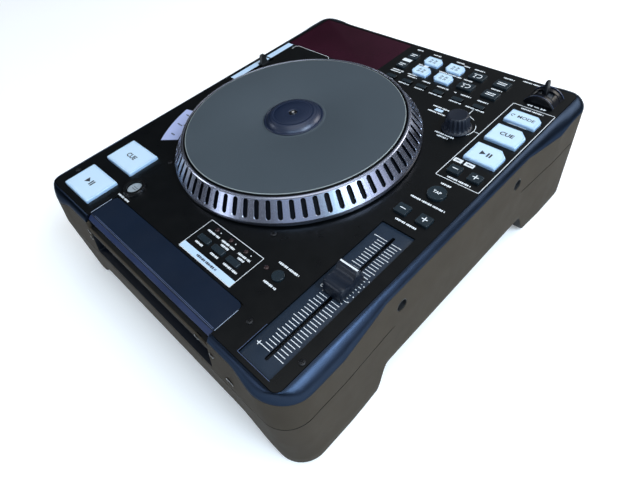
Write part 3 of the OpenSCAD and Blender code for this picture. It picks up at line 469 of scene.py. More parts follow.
def finish_material(name, colour, rough, metal=0.0, stain=0.12, grain=0.15, grain_scale=2600.0, coat=0.0,
                    specular=0.5, worn=0.05, edge=1.0):
    """A moulded, painted or plated surface with faint stains, uneven gloss and a fine grain."""
    m, tree, bsdf = shader(name)
    base = linear(colour)
    place = tree.nodes.new("ShaderNodeTexCoord").outputs["Object"]
    cloud = noise(tree, place, 34.0, 5.0)
    tone = two_tone(tree, cloud, [v * (1 - stain) for v in base], [min(1.0, v * (1 + stain)) for v in base])
    tree.links.new(tone, bsdf.inputs["Base Color"])
    tree.links.new(spread(tree, noise(tree, place, 90.0, 4.0), rough - worn, rough + worn),
                   bsdf.inputs["Roughness"])
    bsdf.inputs["Metallic"].default_value = metal
    bsdf.inputs["Specular IOR Level"].default_value = specular
    bsdf.inputs["Specular Tint"].default_value = (edge, edge, edge, 1)
    bsdf.inputs["Coat Weight"].default_value = coat
    bsdf.inputs["Coat Roughness"].default_value = 0.08
    bump(tree, noise(tree, place, grain_scale, 2.0), bsdf, grain, 0.0001)
    return m


def radial_coordinate(tree, cx, cy):
    """Distance from an upright axis, and the angle round it, as shader values in metres and radians."""
    place = tree.nodes.new("ShaderNodeTexCoord").outputs["Object"]
    shift = tree.nodes.new("ShaderNodeVectorMath")
    shift.operation = "SUBTRACT"
    shift.inputs[1].default_value = (cx * MM, cy * MM, 0)
    tree.links.new(place, shift.inputs[0])
    flat = tree.nodes.new("ShaderNodeVectorMath")
    flat.operation = "MULTIPLY"
    flat.inputs[1].default_value = (1, 1, 0)
    tree.links.new(shift.outputs[0], flat.inputs[0])
    length = tree.nodes.new("ShaderNodeVectorMath")
    length.operation = "LENGTH"
    tree.links.new(flat.outputs[0], length.inputs[0])
    return place, length.outputs["Value"]


def turned_material(name, colour, rough, metal, cx, cy, scale, depth, stain=0.1, brushed=0.0, worn=0.07,
                    specular=0.5):
    """A surface with fine circular lines about an upright axis, turned or moulded."""
    m, tree, bsdf = shader(name)
    base = linear(colour)
    place, radius = radial_coordinate(tree, cx, cy)
    lines = noise(tree, radius, scale, 6.0, flat=True)
    cloud = noise(tree, place, 26.0, 5.0)
    both = tree.nodes.new("ShaderNodeMath")
    both.operation = "MULTIPLY_ADD"
    both.inputs[1].default_value = 0.55
    tree.links.new(lines, both.inputs[0])
    half = tree.nodes.new("ShaderNodeMath")
    half.operation = "MULTIPLY"
    half.inputs[1].default_value = 0.45
    tree.links.new(cloud, half.inputs[0])
    tree.links.new(half.outputs[0], both.inputs[2])
    tone = two_tone(tree, both.outputs[0], [v * (1 - stain) for v in base],
                    [min(1.0, v * (1 + stain)) for v in base])
    tree.links.new(tone, bsdf.inputs["Base Color"])
    tree.links.new(spread(tree, lines, rough - worn, rough + worn), bsdf.inputs["Roughness"])
    bsdf.inputs["Metallic"].default_value = metal
    bsdf.inputs["Specular IOR Level"].default_value = specular
    if brushed:
        ring = tree.nodes.new("ShaderNodeTangent")
        ring.direction_type = "RADIAL"
        ring.axis = "Z"
        bsdf.inputs["Anisotropic"].default_value = brushed
        tree.links.new(ring.outputs[0], bsdf.inputs["Tangent"])
    bump(tree, lines, bsdf, depth, 0.0001)
    return m


PLATTER_X, PLATTER_Y = centre_mm("platter_ring")[:2]

CASE_PLASTIC = finish_material("case_plastic", "3e372e", 0.78, stain=0.06, grain=0.3, grain_scale=2200,
                               worn=0.04, specular=0.13)
# Mid-dark painted shade for the sloped visor over the disc bay.
VISOR_PAINTED_SHADE = finish_material("step_brown", "1c2125", 0.6, specular=0.15)
# A lighter copy of the cover's slate for its front bevel: a painted sheen, as if the bevel caught light.
BEVEL_PAINTED_SHEEN = finish_material("bevel_painted_sheen", "243050", 0.36, stain=0.09, grain=0.1, specular=0.35)
# Black for the case's belly and parting groove: on the belly partly the base plate's own black, partly
# painted shade under the case.
UNDERSIDE_BLACK_AND_SHADE = finish_material("underside_black_and_shade", "0b0b0c", 0.6, stain=0.1, grain=0.3, grain_scale=2200,
                              specular=0.2)
RIM_GLOSS = finish_material("rim_gloss", "2a3444", 0.33, metal=1.0, stain=0.08, grain=0.04, worn=0.04,
                            edge=0.45)
BAY_NAVY = finish_material("bay_navy", "070d18", 0.45, stain=0.14, grain=0.1, specular=0.15)
PANEL_BLACK = finish_material("panel_black", "040608", 0.32, stain=0.1, grain=0.1, grain_scale=5200,
                              specular=0.3)
SLATE = finish_material("slate_plastic", "0e1a2b", 0.34, stain=0.09, grain=0.12, worn=0.05, specular=0.3)
SCALE_SLATE = finish_material("scale_slate", "1f2a38", 0.42, stain=0.07, grain=0.14, specular=0.3)
SMOKE = finish_material("smoked_window", "2b0c1a", 0.14, stain=0.14, grain=0.0, worn=0.02, specular=0.15)
ALUMINIUM = turned_material("turned_aluminium", "aeb4c8", 0.25, 1.0, PLATTER_X, PLATTER_Y, 1400, 0.03,
                            stain=0.03, brushed=0.2, worn=0.02)
DISC_GREY = turned_material("disc_grey", "3d464d", 0.6, 0.0, PLATTER_X, PLATTER_Y, 1700, 0.2, stain=0.08)
# Pale grey painted on the disc's top edge as a highlight: a thin light line where the edge would catch
# light.
DISC_EDGE_PAINTED_HIGHLIGHT = finish_material("disc_edge_painted_highlight", "8d9494", 0.45, stain=0.1)
# Near-black painted shade for the inside of the platter, seen through the skirt's slots and round the disc.
SLOT_PAINTED_SHADE = finish_material("slot_painted_shade", "060a12", 0.55, stain=0.2, specular=0.1)
DARK_METAL = finish_material("dark_metal", "2b2c30", 0.35, metal=0.8)
BLACK_GLOSS = finish_material("black_gloss", "0b0c0e", 0.2, grain=0.05, coat=0.3)
HUB_BLACK = turned_material("hub_black", "1a2740", 0.34, 0.3, PLATTER_X, PLATTER_Y, 900, 0.06, specular=0.9)
CHROME = finish_material("chrome", "d8d8da", 0.12, metal=1.0, grain=0.03, stain=0.04)
STEEL = finish_material("brushed_steel", "8d8f93", 0.34, metal=1.0, grain=0.2)
SCREW_STEEL = finish_material("dark_screw", "3a3b3e", 0.35, metal=0.9)
BLACK_PLASTIC = finish_material("black_plastic", "17191c", 0.4, grain=0.25)
RUBBER = finish_material("rubber", "121315", 0.62, grain=0.4, grain_scale=1500)
KNOB_RUBBER = finish_material("knob_rubber", "151b27", 0.42, grain=0.25, specular=0.4)
FADER_PLASTIC = finish_material("fader_plastic", "151c28", 0.32, grain=0.1, specular=0.4)


def painted_glow_cap_material():
    """Milky plastic, bluer and darker towards the edges of a cap and down its sides, lighter in the middle
    of its top: a painted glow and painted shade.
    """
    m, tree, bsdf = shader("pale_cap")
    tone = tree.nodes.new("ShaderNodeAttribute")
    tone.attribute_name = "tone"
    place = tree.nodes.new("ShaderNodeTexCoord").outputs["Object"]
    blur = spread(tree, noise(tree, place, 160.0, 2.0), -0.12, 0.12)
    total = tree.nodes.new("ShaderNodeMath")
    tree.links.new(tone.outputs["Fac"], total.inputs[0])
    tree.links.new(blur, total.inputs[1])
    tree.links.new(two_tone(tree, total.outputs[0], linear("9dbfe2"), linear("c9dff0"), 0.05, 0.8),
                   bsdf.inputs["Base Color"])
    bsdf.inputs["Roughness"].default_value = 0.36
    bsdf.inputs["Subsurface Weight"].default_value = 0.35
    bsdf.inputs["Subsurface Radius"].default_value = (0.002, 0.002, 0.002)
    bsdf.inputs["Subsurface Scale"].default_value = 1.0
    bump(tree, noise(tree, place, 2600.0, 2.0), bsdf, 0.06, 0.0001)
    return m


PALE_CAP = painted_glow_cap_material()
DARK_CAP = finish_material("dark_cap", "1b262d", 0.28, grain=0.1, specular=0.4)
BLACK_CAP = finish_material("black_cap", "020204", 0.4, grain=0.1, specular=0.06)
LAMP_LENS = finish_material("lamp_lens", "2b1a1c", 0.15, grain=0.0, coat=0.4)
# Blue-grey painted highlight: light lines along edges that would catch light, on the cover's bevel, the
# fader plate's rims and the lever saddle's rails.
EDGE_PAINTED_HIGHLIGHT = finish_material("edge_painted_highlight", "4a5878", 0.4, stain=0.1, grain=0.0)
# Pale grey painted highlight for the panel's edges beside the cover strip.
GAP_PAINTED_HIGHLIGHT = finish_material("gap_painted_highlight", "98a3b6", 0.4, stain=0.1, grain=0.0)
LEVER_BLACK = finish_material("lever_black", "0c0e14", 0.3, grain=0.12, specular=0.25)
SHIELD_GREY = finish_material("shield_grey", "3a3e44", 0.4, grain=0.3)
LENS = finish_material("lens_grey", "9aa3aa", 0.3, grain=0.05)
WHITE_INK = finish_material("white_ink", "e4e6e8", 0.5, stain=0.03, grain=0.0)
BLUE_INK = finish_material("blue_ink", "bcd3ea", 0.5, stain=0.04, grain=0.0)
LILAC_INK = finish_material("lilac_ink", "aeb6dc", 0.5, stain=0.05, grain=0.0)
DARK_INK = finish_material("dark_ink", "30343c", 0.5, stain=0.05, grain=0.0)
JACK_RED = finish_material("jack_red", "8e1a1c", 0.35, grain=0.05)
# Near-black painted shade, used where gaps, grooves and hollows would lie in shadow: the disc's sides,
# inside the platter's lip, the channel behind the case lip and the cover's bevel grooves.
PAINTED_SHADE_BLACK = finish_material("painted_shade_black", "040404", 0.7, grain=0.0)
CIRCUIT = finish_material("circuit_board", "1d5a38", 0.42, stain=0.2)
SUPPLY = finish_material("supply_board", "8a713f", 0.5, stain=0.2)
COPPER = finish_material("copper_coils", "a3623a", 0.34, metal=0.9)

# ------------------------------------------------------------------ case outline
SIDES = ("right", "rear", "left", "front")
ARC_STEPS = 12


def marks(half, fine_from, fine_step, coarse_step):
    """Distances along a straight wall, close together where its shape changes."""
    right, v = [], 0.0
    while v < half - 0.6 * fine_step:
        right.append(v)
        v += fine_step if fine_from <= v < 138 else coarse_step
    right.append(half)
    return [-v for v in reversed(right[1:])] + right


def make_stations():
    """Places round the case: a straight side with a share of its half length, or an arc with its angle."""
    out = []
    along_side = marks(HALF_D - CORNER_R, 66.0, 1.75, 8.25)
    along_front = marks(HALF_W - CORNER_R, 86.0, 2.2, 8.6)
    for k, name in enumerate(SIDES):
        half = HALF_D - CORNER_R if k % 2 == 0 else HALF_W - CORNER_R
        for v in (along_side if k % 2 == 0 else along_front):
            out.append((name, v / half))
        for i in range(1, ARC_STEPS):
            out.append(("arc", k * pi / 2 + pi / 2 * i / ARC_STEPS))
    return out


STATIONS = make_stations()


def station_point(station, half_w, half_d, r):
    kind, v = station
    if kind == "right":
        return half_w, v * (half_d - r)
    if kind == "rear":
        return -v * (half_w - r), half_d
    if kind == "left":
        return -half_w, -v * (half_d - r)
    if kind == "front":
        return v * (half_w - r), -half_d
    sx = 1 if cos(v) > 0 else -1
    sy = 1 if sin(v) > 0 else -1
    return sx * (half_w - r) + r * cos(v), sy * (half_d - r) + r * sin(v)


def corner_weight(station):
    """0 where a wall lies back, 1 where a corner block stands upright."""
    x, y = station_point(station, HALF_W, HALF_D, CORNER_R)
    if station[0] in ("right", "left"):
        return min(1.0, max(0.0, (abs(y) - FLARE_Y) / (CREASE_Y - FLARE_Y)))
    if station[0] in ("rear", "front"):
        return smooth_step(100, 122, abs(x))
    return 1.0


WEIGHTS = [corner_weight(s) for s in STATIONS]


def rim_foot(k):
    """The height of the rim's lower edge: it dips from the creases on, where the corner blocks begin."""
    station = STATIONS[k]
    y = station_point(station, HALF_W, HALF_D, CORNER_R)[1]
    rest = RIM_DIP if y < 0 else REAR_DIP
    if station[0] in ("rear", "front"):
        return CASE_TOP - rest * WEIGHTS[k]
    if station[0] == "arc" or abs(y) > CREASE_Y:
        return CASE_TOP - mix(RIM_DIP, rest, min(1.0, (abs(y) - CREASE_Y) / 16))
    return CASE_TOP - RIM_DIP * WEIGHTS[k]


def wall_rise(z):
    return min(1.0, max(0.0, (z - PARTING_Z) / (CASE_TOP - PARTING_Z)))


def lean(station, weight, z):
    """How far a wall has come in at a height, in X and in Y."""
    kind, v = station
    if kind in ("right", "left"):
        return mix(SIDE_WAIST, SIDE_LEAN, wall_rise(z)) * (1 - weight), 0.0
    if kind == "rear":
        return 0.0, FRONT_LEAN * (1 - weight) * wall_rise(z)
    if kind == "front":
        return 0.0, mix(FRONT_LEAN, CORNER_LEAN, weight) * wall_rise(z)
    return 0.0, CORNER_LEAN * max(0.0, -sin(v)) * wall_rise(z)


def round_off(x, y, inside, radius):
    """Moves a point of the outline onto a front corner of a larger radius."""
    r = radius - inside
    cx, cy = HALF_W - radius, HALF_D - radius
    out = hypot(max(0.0, abs(x) - cx), max(0.0, abs(y) - cy))
    if abs(x) <= cx or -y <= cy or out < r:
        return x, y
    return copysign(cx + (abs(x) - cx) * r / out, x), copysign(cy + (abs(y) - cy) * r / out, y)


def wall_point(k, z, inside):
    """The point of station k at height z, moved inside by a distance."""
    station = STATIONS[k]
    dx, dy = lean(station, WEIGHTS[k], z)
    r = max(CORNER_R - inside, 1.0)
    x, y = station_point(station, HALF_W - inside, HALF_D - inside, r)
    if inside < CORNER_R:
        x, y = round_off(x, y, inside, CORNER_R + CORNER_GROW * wall_rise(z))
    return x - copysign(dx, x), y - copysign(dy, y), z


def arch(v, flat, run):
    t = min(1.0, max(0.0, (abs(v) - flat) / run))
    return FOOT_Z + (BELLY_Z - FOOT_Z) * (1 + cos(pi * t)) / 2


def belly(x, y):
    return max(arch(x, FRONT_FLAT, FRONT_RUN), arch(y, SIDE_FLAT, SIDE_RUN))


def belly_ring(inside, lift):
    ring = []
    for k in range(len(STATIONS)):
        x, y, _ = wall_point(k, 0.0, inside)
        ring.append((x, y, belly(x, y) + lift))
    return ring


def case_ring(height, inside):
    """A ring of the case at a height that may depend on the station."""
    ring = []
    for k in range(len(STATIONS)):
        z = height(k) if callable(height) else height
        depth = inside(k) if callable(inside) else inside
        ring.append(wall_point(k, z, depth))
    return ring


def groove_depth(k):
    station = STATIONS[k]
    if station[0] in ("right", "left"):
        return GROOVE_H * smooth_step(75.5, 78.5, abs(station[1] * (HALF_D - CORNER_R)))
    return GROOVE_H


def make_case():
    """The lower case: outer skin, rim edge, inner skin and floor as one closed shell."""
    inward = [1.2, 4, 9, 15, 21, 27] + [30 + 3 * i for i in range(11)]
    foot = [wall_point(k, 0.0, 0.0) for k in range(len(STATIONS))]
    low = [belly(x, y) for x, y, _ in foot]
    groove_low = PARTING_Z - GROOVE_H
    rings = [belly_ring(d, 0.0) for d in reversed(inward)]
    rings.append(belly_ring(0.35, 0.35))
    for t in (0.0, 0.15, 0.35, 0.6, 0.85, 1.0):
        rings.append(case_ring(lambda k: mix(low[k] + 1.2, groove_low, t), 0.0))
    rings.append(case_ring(groove_low, groove_depth))
    rings.append(case_ring(PARTING_Z, groove_depth))
    for t in (0.0, 0.16, 0.33, 0.5, 0.66, 0.83, 1.0):
        rings.append(case_ring(lambda k: mix(PARTING_Z, rim_foot(k) - 0.4, t), 0.0))
    rings.append(case_ring(lambda k: rim_foot(k), 0.4))
    rings.append(case_ring(lambda k: rim_foot(k), WALL))
    for t in (0.75, 0.5, 0.25, 0.0):
        rings.append(case_ring(lambda k: mix(PARTING_Z, rim_foot(k), t), WALL))
    for d in [WALL, 6, 10, 16, 22, 28] + [32 + 4 * i for i in range(8)]:
        rings.append(belly_ring(d, WALL))
    shape = Shape()
    shape.loft(rings)
    around = len(STATIONS)
    # The belly and the parting groove take the second material, black: on the belly partly the base plate's
    # colour, partly painted shade.
    shape.slots[:len(inward) * around] = [1] * (len(inward) * around)
    groove = len(inward) + 6
    for k in range(groove, groove + 3):
        for i in range(around):
            if min(groove_depth(i), groove_depth((i + 1) % around)) > 0.3:
                shape.slots[k * around + i] = 1
    return shape


SLOT_X, SLOT_Z = 4.0, DECK - 22.0
SLOT_W, SLOT_H = 128.0, 5.5
BAY_W, BAY_H = 149.0, 19.0
BAY_BACK = -HALF_D + FRONT_LEAN + WALL + 1.0
SIDE_SCREW_Y, SIDE_SCREW_Z = 67.5, PARTING_Z + 13.0
CUP_R, CUP_FLOOR = 4.7, HALF_W - 8.5
SOCKET_LOW, SOCKET_HIGH = box_mm("rear_sockets")
COVER_LOW, COVER_HIGH = box_mm("slot_cover")
COVER_X0, COVER_X1 = COVER_LOW[0] - SEAT, COVER_HIGH[0] + SEAT
COVER_FRONT, COVER_REAR = COVER_LOW[1], COVER_HIGH[1]
LIP_Z, LIP_T, LIP_LOW, GAP_END = CASE_TOP - 3.9, 0.9, CASE_TOP - 6.5, 1.2
CHANNEL_LOW = CASE_TOP - 6.0
VISOR_LOW = CASE_TOP - 11.0


def make_case_holes():
    holes = Shape()
    holes.prism(rectangle(BAY_W, 30, 2.0, 3, SLOT_X, -HALF_D),
                [(0, SLOT_Z - BAY_H / 2), (0, SLOT_Z + BAY_H / 2)])
    for side in (-1, 1):
        for y in (-SIDE_SCREW_Y, SIDE_SCREW_Y):
            holes.lathe_x([(CUP_R, side * (HALF_W - 15)), (CUP_R, side * (HALF_W + 3))], 32, y,
                          SIDE_SCREW_Z)
    x0, x1 = COVER_X0 + GAP_END, COVER_X1 - GAP_END
    channel = front_wall(LIP_Z) + LIP_T
    cut = [(channel, CHANNEL_LOW), (channel, LIP_Z), (channel - 6, LIP_Z), (channel - 6, CASE_TOP + 2),
           (channel + 5.6, CASE_TOP + 2), (channel + 5.6, CHANNEL_LOW)]
    holes.loft([[(x, y, z) for y, z in cut] for x in (x0, x1)])
    x0, x1 = SOCKET_LOW[0] + 2, SOCKET_HIGH[0] - 2
    z0, z1 = SOCKET_LOW[2] + 2, SOCKET_HIGH[2] - 2
    holes.prism(rectangle(x1 - x0, 24, 1.2, 3, (x0 + x1) / 2, HALF_D), [(0, z0), (0, z1)])
    return holes


def frame_ring(low, high, r, y, flare=0.0, steps=5):
    """A rounded rectangle that stands upright, facing along Y."""
    w, h = high[0] - low[0] + 2 * flare, high[1] - low[1] + 2 * flare
    cx, cz = (low[0] + high[0]) / 2, (low[1] + high[1]) / 2
    return [(x, y, z) for x, z in rectangle(w, h, r + flare, steps, cx, cz)]


def front_wall(z):
    """Where the middle of the front wall stands at a height."""
    return -HALF_D + FRONT_LEAN * min(1.0, max(0.0, (z - PARTING_Z) / (CASE_TOP - PARTING_Z)))


def make_bay():
    """The recessed bay of the disc slot: its walls, back and the slot's lipped mouth."""
    low, high = (SLOT_X - BAY_W / 2, SLOT_Z - BAY_H / 2), (SLOT_X + BAY_W / 2, SLOT_Z + BAY_H / 2)
    s_low, s_high = (SLOT_X - SLOT_W / 2, SLOT_Z - SLOT_H / 2), (SLOT_X + SLOT_W / 2, SLOT_Z + SLOT_H / 2)
    back = BAY_BACK

    def mouth(flare, depth):
        return [(x, front_wall(z) + depth, z) for x, _, z in frame_ring(low, high, 1.5, 0.0, flare)]

    shape = Shape()
    shape.loft([
        mouth(0.0, 0.12), mouth(-0.12, 0.5), frame_ring(low, high, 1.5, back - 0.6, -0.12),
        frame_ring(low, high, 1.5, back, -0.6), frame_ring(s_low, s_high, 2.4, back, 1.6),
        frame_ring(s_low, s_high, 2.4, back - 0.7, 1.2), frame_ring(s_low, s_high, 2.4, back - 0.9, 0.7),
        frame_ring(s_low, s_high, 2.4, back - 0.6, 0.2), frame_ring(s_low, s_high, 2.4, back + 0.2, 0.0),
        frame_ring(s_low, s_high, 2.4, back + 6.5, 0.0), frame_ring(s_low, s_high, 2.4, back + 6.5, 0.8),
        frame_ring(low, high, 1.5, back + 1.2, 0.9), mouth(0.9, 0.5)
    ], loop=True)
    return shape


# ------------------------------------------------------------------ rim and cover
# RIM_GAP parts the rim from the case, LEDGE_GAP the cover from its ledge
RIM_GAP, LEDGE_GAP, NOTCH_GAP = 0.06, 0.05, 0.02
LEDGE_D = 1.5
BEVEL_Y = -PANEL_Y + 2.2


def make_rim():
    """The glossy rim: a convex section swept round the panel, and the ledge under the cover."""
    steps = 14
    power = 2 / 1.6

    def section(h, v, drop=0.0):
        ring = []
        for k, station in enumerate(STATIONS):
            foot = rim_foot(k) + RIM_GAP
            x0, y0, _ = wall_point(k, foot, 0.0)
            x1, y1 = station_point(station, PANEL_X + 0.05, PANEL_Y + 0.05, 5.0)
            ring.append((mix(x0, x1, h), mix(y0, y1, h), mix(foot, DECK, v) - drop))
        return ring

    rings = []
    for i in range(steps + 1):
        a = pi / 2 * i / steps
        rings.append(section(1 - cos(a) ** power if i < steps else 0.97, sin(a) ** power))
    rings.append(section(1.0, 1.0, 0.25))
    rings.append(section(1.0, 1.0, PANEL_T + 0.1))
    rings.append(section(0.32, 0.0, 0.0))
    shape = Shape()
    shape.loft(rings, loop=True)
    back, low, high = COVER_FRONT + LEDGE_D, CASE_TOP + RIM_GAP, COVER_LOW[2] - LEDGE_GAP
    ledge = [(COVER_FRONT, low), (COVER_FRONT, high), (back, high), (back, low)]
    shape.loft([[(x, y, z) for y, z in ledge] for x in (COVER_X0 - 2 * SEAT, COVER_X1 + 2 * SEAT)])
    return shape


def make_rim_notch():
    """The cover's opening: down to the case in front of the cover, and to its ledge below it."""
    front, back, ledge = -HALF_D - 12, COVER_FRONT + 4, COVER_LOW[2] - NOTCH_GAP
    cut = [(front, CASE_TOP - 8), (front, DECK + 4), (back, DECK + 4), (back, ledge),
           (COVER_FRONT - NOTCH_GAP, ledge), (COVER_FRONT - NOTCH_GAP, CASE_TOP - 8)]
    notch = Shape()
    notch.loft([[(x, y, z) for y, z in cut] for x in (COVER_X0, COVER_X1)])
    return notch


def make_cover():
    """The strip over the disc slot, with a bevelled front lip and rounded back corners."""
    top, low = COVER_HIGH[2], COVER_LOW[2]
    corner = 5.0
    rings = []
    half = (COVER_X1 - COVER_X0) / 2 - SEAT
    middle = (COVER_X0 + COVER_X1) / 2
    for side in (-1, 1):
        for d in ((0, 0.3, 1.0, 2.2, 3.6, 5.0) if side < 0 else (5.0, 3.6, 2.2, 1.0, 0.3, 0)):
            x = middle + side * (half - d)
            pull = corner - sqrt(max(0.0, corner ** 2 - (corner - d) ** 2)) if d < corner else 0.0
            rear = COVER_REAR - pull * 0.8
            soft = 0.35 if d > 0 else 0.0
            edge = 0.0 if d > 0 else 0.3
            profile = [
                (rear, DECK - PANEL_T), (rear, top - 0.35 - edge), (rear - soft, top - edge),
                (BEVEL_Y + 0.9, top - edge), (BEVEL_Y + 0.75, top - 0.2 - edge),
                (BEVEL_Y + 0.45, top - 0.2 - edge), (BEVEL_Y + 0.3, top - edge),
                (BEVEL_Y, top - 0.05 - edge), (BEVEL_Y - 0.2, top - 0.35 - edge),
                (BEVEL_Y - 0.5, top - 0.4 - edge), (COVER_FRONT + 0.5, DECK - 2.6 - edge),
                (COVER_FRONT, DECK - 3.1 - edge), (COVER_FRONT, low), (COVER_FRONT + 2.6, low),
                (COVER_FRONT + 2.6, DECK - PANEL_T)
            ]
            rings.append([(x, y, z) for y, z in profile])
    shape = Shape()
    shape.loft(rings)
    # The bevel and front faces take the second material, painted lighter as a sheen.
    around = len(profile)
    for k in range(len(rings) - 1):
        for i in (9, 10, 11):
            shape.slots[k * around + i] = 1
    return shape


# ------------------------------------------------------------------ platter
RIM_R = 88.5
SKIRT_R = 98.5
SKIRT_Z = DECK + 5.0
RIM_Z = box_mm("platter_ring")[1][2]
PLATTER_LOW = box_mm("platter_ring")[0][2]
SLOTS = 72
DISC_LOW, DISC_TOP = box_mm("slip_disc")[0][2], box_mm("slip_disc")[1][2]
DISC_R = (box_mm("slip_disc")[1][0] - box_mm("slip_disc")[0][0]) / 2


def make_slot_sector():
    """One share of the sloping skirt, with a chamfered round-ended slot through it."""
    half_turn = pi / SLOTS
    rise, run = RIM_Z - SKIRT_Z, SKIRT_R - RIM_R
    slope = hypot(rise, run)
    skin = 0.8
    slot_half, slot_r, middle = 5.0, 1.68, slope * 0.50

    def surface(s, across, depth):
        """The point s up the slope, a distance across, and a depth under the skin."""
        r = SKIRT_R - run * s / slope - depth * rise / slope
        z = SKIRT_Z + rise * s / slope - depth * run / slope
        a = across / (SKIRT_R - run * s / slope)
        return r * cos(a), r * sin(a), z

    def slot_ring(g, depth):
        ring = []
        for end in (1, -1):
            for i in range(9):
                t = pi / 2 - pi * i / 8 if end > 0 else -pi / 2 - pi * i / 8
                ring.append(surface(middle + end * slot_half + (slot_r + g) * cos(t) * 1.0,
                                    (slot_r + g) * sin(t), depth))
        return ring

    def border_ring(depth):
        ring = []
        for end in (1, -1):
            for i in range(9):
                t = pi / 2 - pi * i / 8 if end > 0 else -pi / 2 - pi * i / 8
                across = sin(t) * 1.6
                across = max(-1.0, min(1.0, across))
                s = slope if end > 0 else 0.0
                if i == 0 or i == 8:
                    s = middle + end * slot_half
                r = SKIRT_R - run * s / slope
                ring.append(surface(s, across * half_turn * r, depth))
        return ring

    def corner_fix(ring, depth):
        """Moves the second point of each end to the sector's corner, so that neighbours meet."""
        for j, (end, side) in {1: (1, 1), 7: (1, -1), 10: (-1, -1), 16: (-1, 1)}.items():
            s = slope if end > 0 else 0.0
            r = SKIRT_R - run * s / slope
            ring[j] = surface(s, side * half_turn * r, depth)
        return ring

    shape = Shape()
    shape.loft([corner_fix(border_ring(0.0), 0.0), slot_ring(0.18, 0.0), slot_ring(0.0, 0.18),
                slot_ring(0.0, skin), corner_fix(border_ring(skin), skin)], loop=True)
    return shape


def make_platter_body():
    """The turned parts of the platter: lower ring, upper edge, and a thin inner drum under the edge,
    painted black as the shade inside the lip.
    """
    shape = Shape()
    shape.lathe([(SKIRT_R - 3.4, PLATTER_LOW + 0.3), (SKIRT_R - 3.1, PLATTER_LOW),
                 (SKIRT_R - 0.5, PLATTER_LOW), (SKIRT_R, PLATTER_LOW + 0.5), (SKIRT_R, SKIRT_Z - 0.9),
                 (SKIRT_R - 0.25, SKIRT_Z - 0.3), (SKIRT_R - 0.05, SKIRT_Z + 0.02),
                 (SKIRT_R - 1.9, SKIRT_Z - 0.9), (SKIRT_R - 3.4, SKIRT_Z - 1.5)],
                180, PLATTER_X, PLATTER_Y, loop=True)
    shape.lathe([(RIM_R + 1.0, RIM_Z - 1.05), (RIM_R + 0.85, RIM_Z - 0.5), (RIM_R + 0.15, RIM_Z - 0.08),
                 (RIM_R - 0.2, RIM_Z), (RIM_R - 0.75, RIM_Z), (RIM_R - 1.0, RIM_Z - 0.2),
                 (RIM_R - 1.0, RIM_Z - 1.8), (RIM_R + 0.2, RIM_Z - 1.3)],
                180, PLATTER_X, PLATTER_Y, loop=True)
    # Painted shade: a black band on the inside of the lip.
    shape.lathe([(RIM_R - 1.02, RIM_Z - 0.35), (RIM_R - 1.3, RIM_Z - 0.45), (RIM_R - 1.3, RIM_Z - 2.2),
                 (RIM_R - 1.02, RIM_Z - 2.2)], 180, PLATTER_X, PLATTER_Y, 1, True)
    return shape


def make_platter_deck():
    """The flat web that carries the disc, and the lining seen through the slots: both painted near-black as
    the shade inside the platter and in the gap round the disc.
    """
    web = DISC_LOW - 0.3
    shape = Shape()
    shape.lathe([(SKIRT_R - 3.0, SKIRT_Z - 1.2), (SKIRT_R - 1.8, SKIRT_Z - 1.0), (RIM_R - 1.4, RIM_Z - 1.6),
                 (RIM_R - 2.4, RIM_Z - 2.2)], 144, PLATTER_X, PLATTER_Y, loop=True)
    shape.lathe([(8.1, web), (RIM_R - 1.3, web), (RIM_R - 1.3, web - 1.0), (RIM_R - 1.5, web - 2.5),
                 (SKIRT_R - 7.5, SKIRT_Z - 1.0), (SKIRT_R - 7.5, PLATTER_LOW + 0.5),
                 (SKIRT_R - 9.0, PLATTER_LOW + 0.5), (SKIRT_R - 9.0, SKIRT_Z - 1.0),
                 (RIM_R - 3.5, web - 2.5), (8.1, web - 2.5)],
                144, PLATTER_X, PLATTER_Y, loop=True)
    return shape


def make_disc():
    """The scratch disc: a thin plate with a pale painted highlight along its top edge, sides painted black
    as shade, and a hole for the spindle.
    """
    shape = Shape()
    hole = 3.1
    shape.lathe([(hole, DISC_LOW), (hole, DISC_TOP - 0.1), (hole + 0.3, DISC_TOP), (24.5, DISC_TOP),
                 (24.8, DISC_TOP - 0.12), (25.4, DISC_TOP - 0.12), (25.7, DISC_TOP),
                 (DISC_R - 0.62, DISC_TOP), (DISC_R - 0.62, DISC_LOW + 0.1)],
                180, PLATTER_X, PLATTER_Y, loop=True)
    # A thin pale ring on the edge's chamfer: a painted highlight.
    shape.lathe([(DISC_R - 0.6, DISC_TOP - 0.02), (DISC_R - 0.16, DISC_TOP - 0.04),
                 (DISC_R - 0.02, DISC_TOP - 0.2), (DISC_R - 0.02, DISC_TOP - 0.42),
                 (DISC_R - 0.6, DISC_TOP - 0.42)], 180, PLATTER_X, PLATTER_Y, 1, True)
    # The disc's sides, painted black as the shade in the gap round the disc.
    shape.lathe([(DISC_R - 0.6, DISC_TOP - 0.43), (DISC_R - 0.1, DISC_TOP - 0.43),
                 (DISC_R - 0.1, DISC_LOW + 0.1), (DISC_R - 0.3, DISC_LOW), (DISC_R - 0.6, DISC_LOW)], 180,
                 PLATTER_X, PLATTER_Y, 2, True)
    return shape


HUB_R = (box_mm("hub_cap")[1][0] - box_mm("hub_cap")[0][0]) / 2
HUB_TOP = box_mm("hub_cap")[1][2]


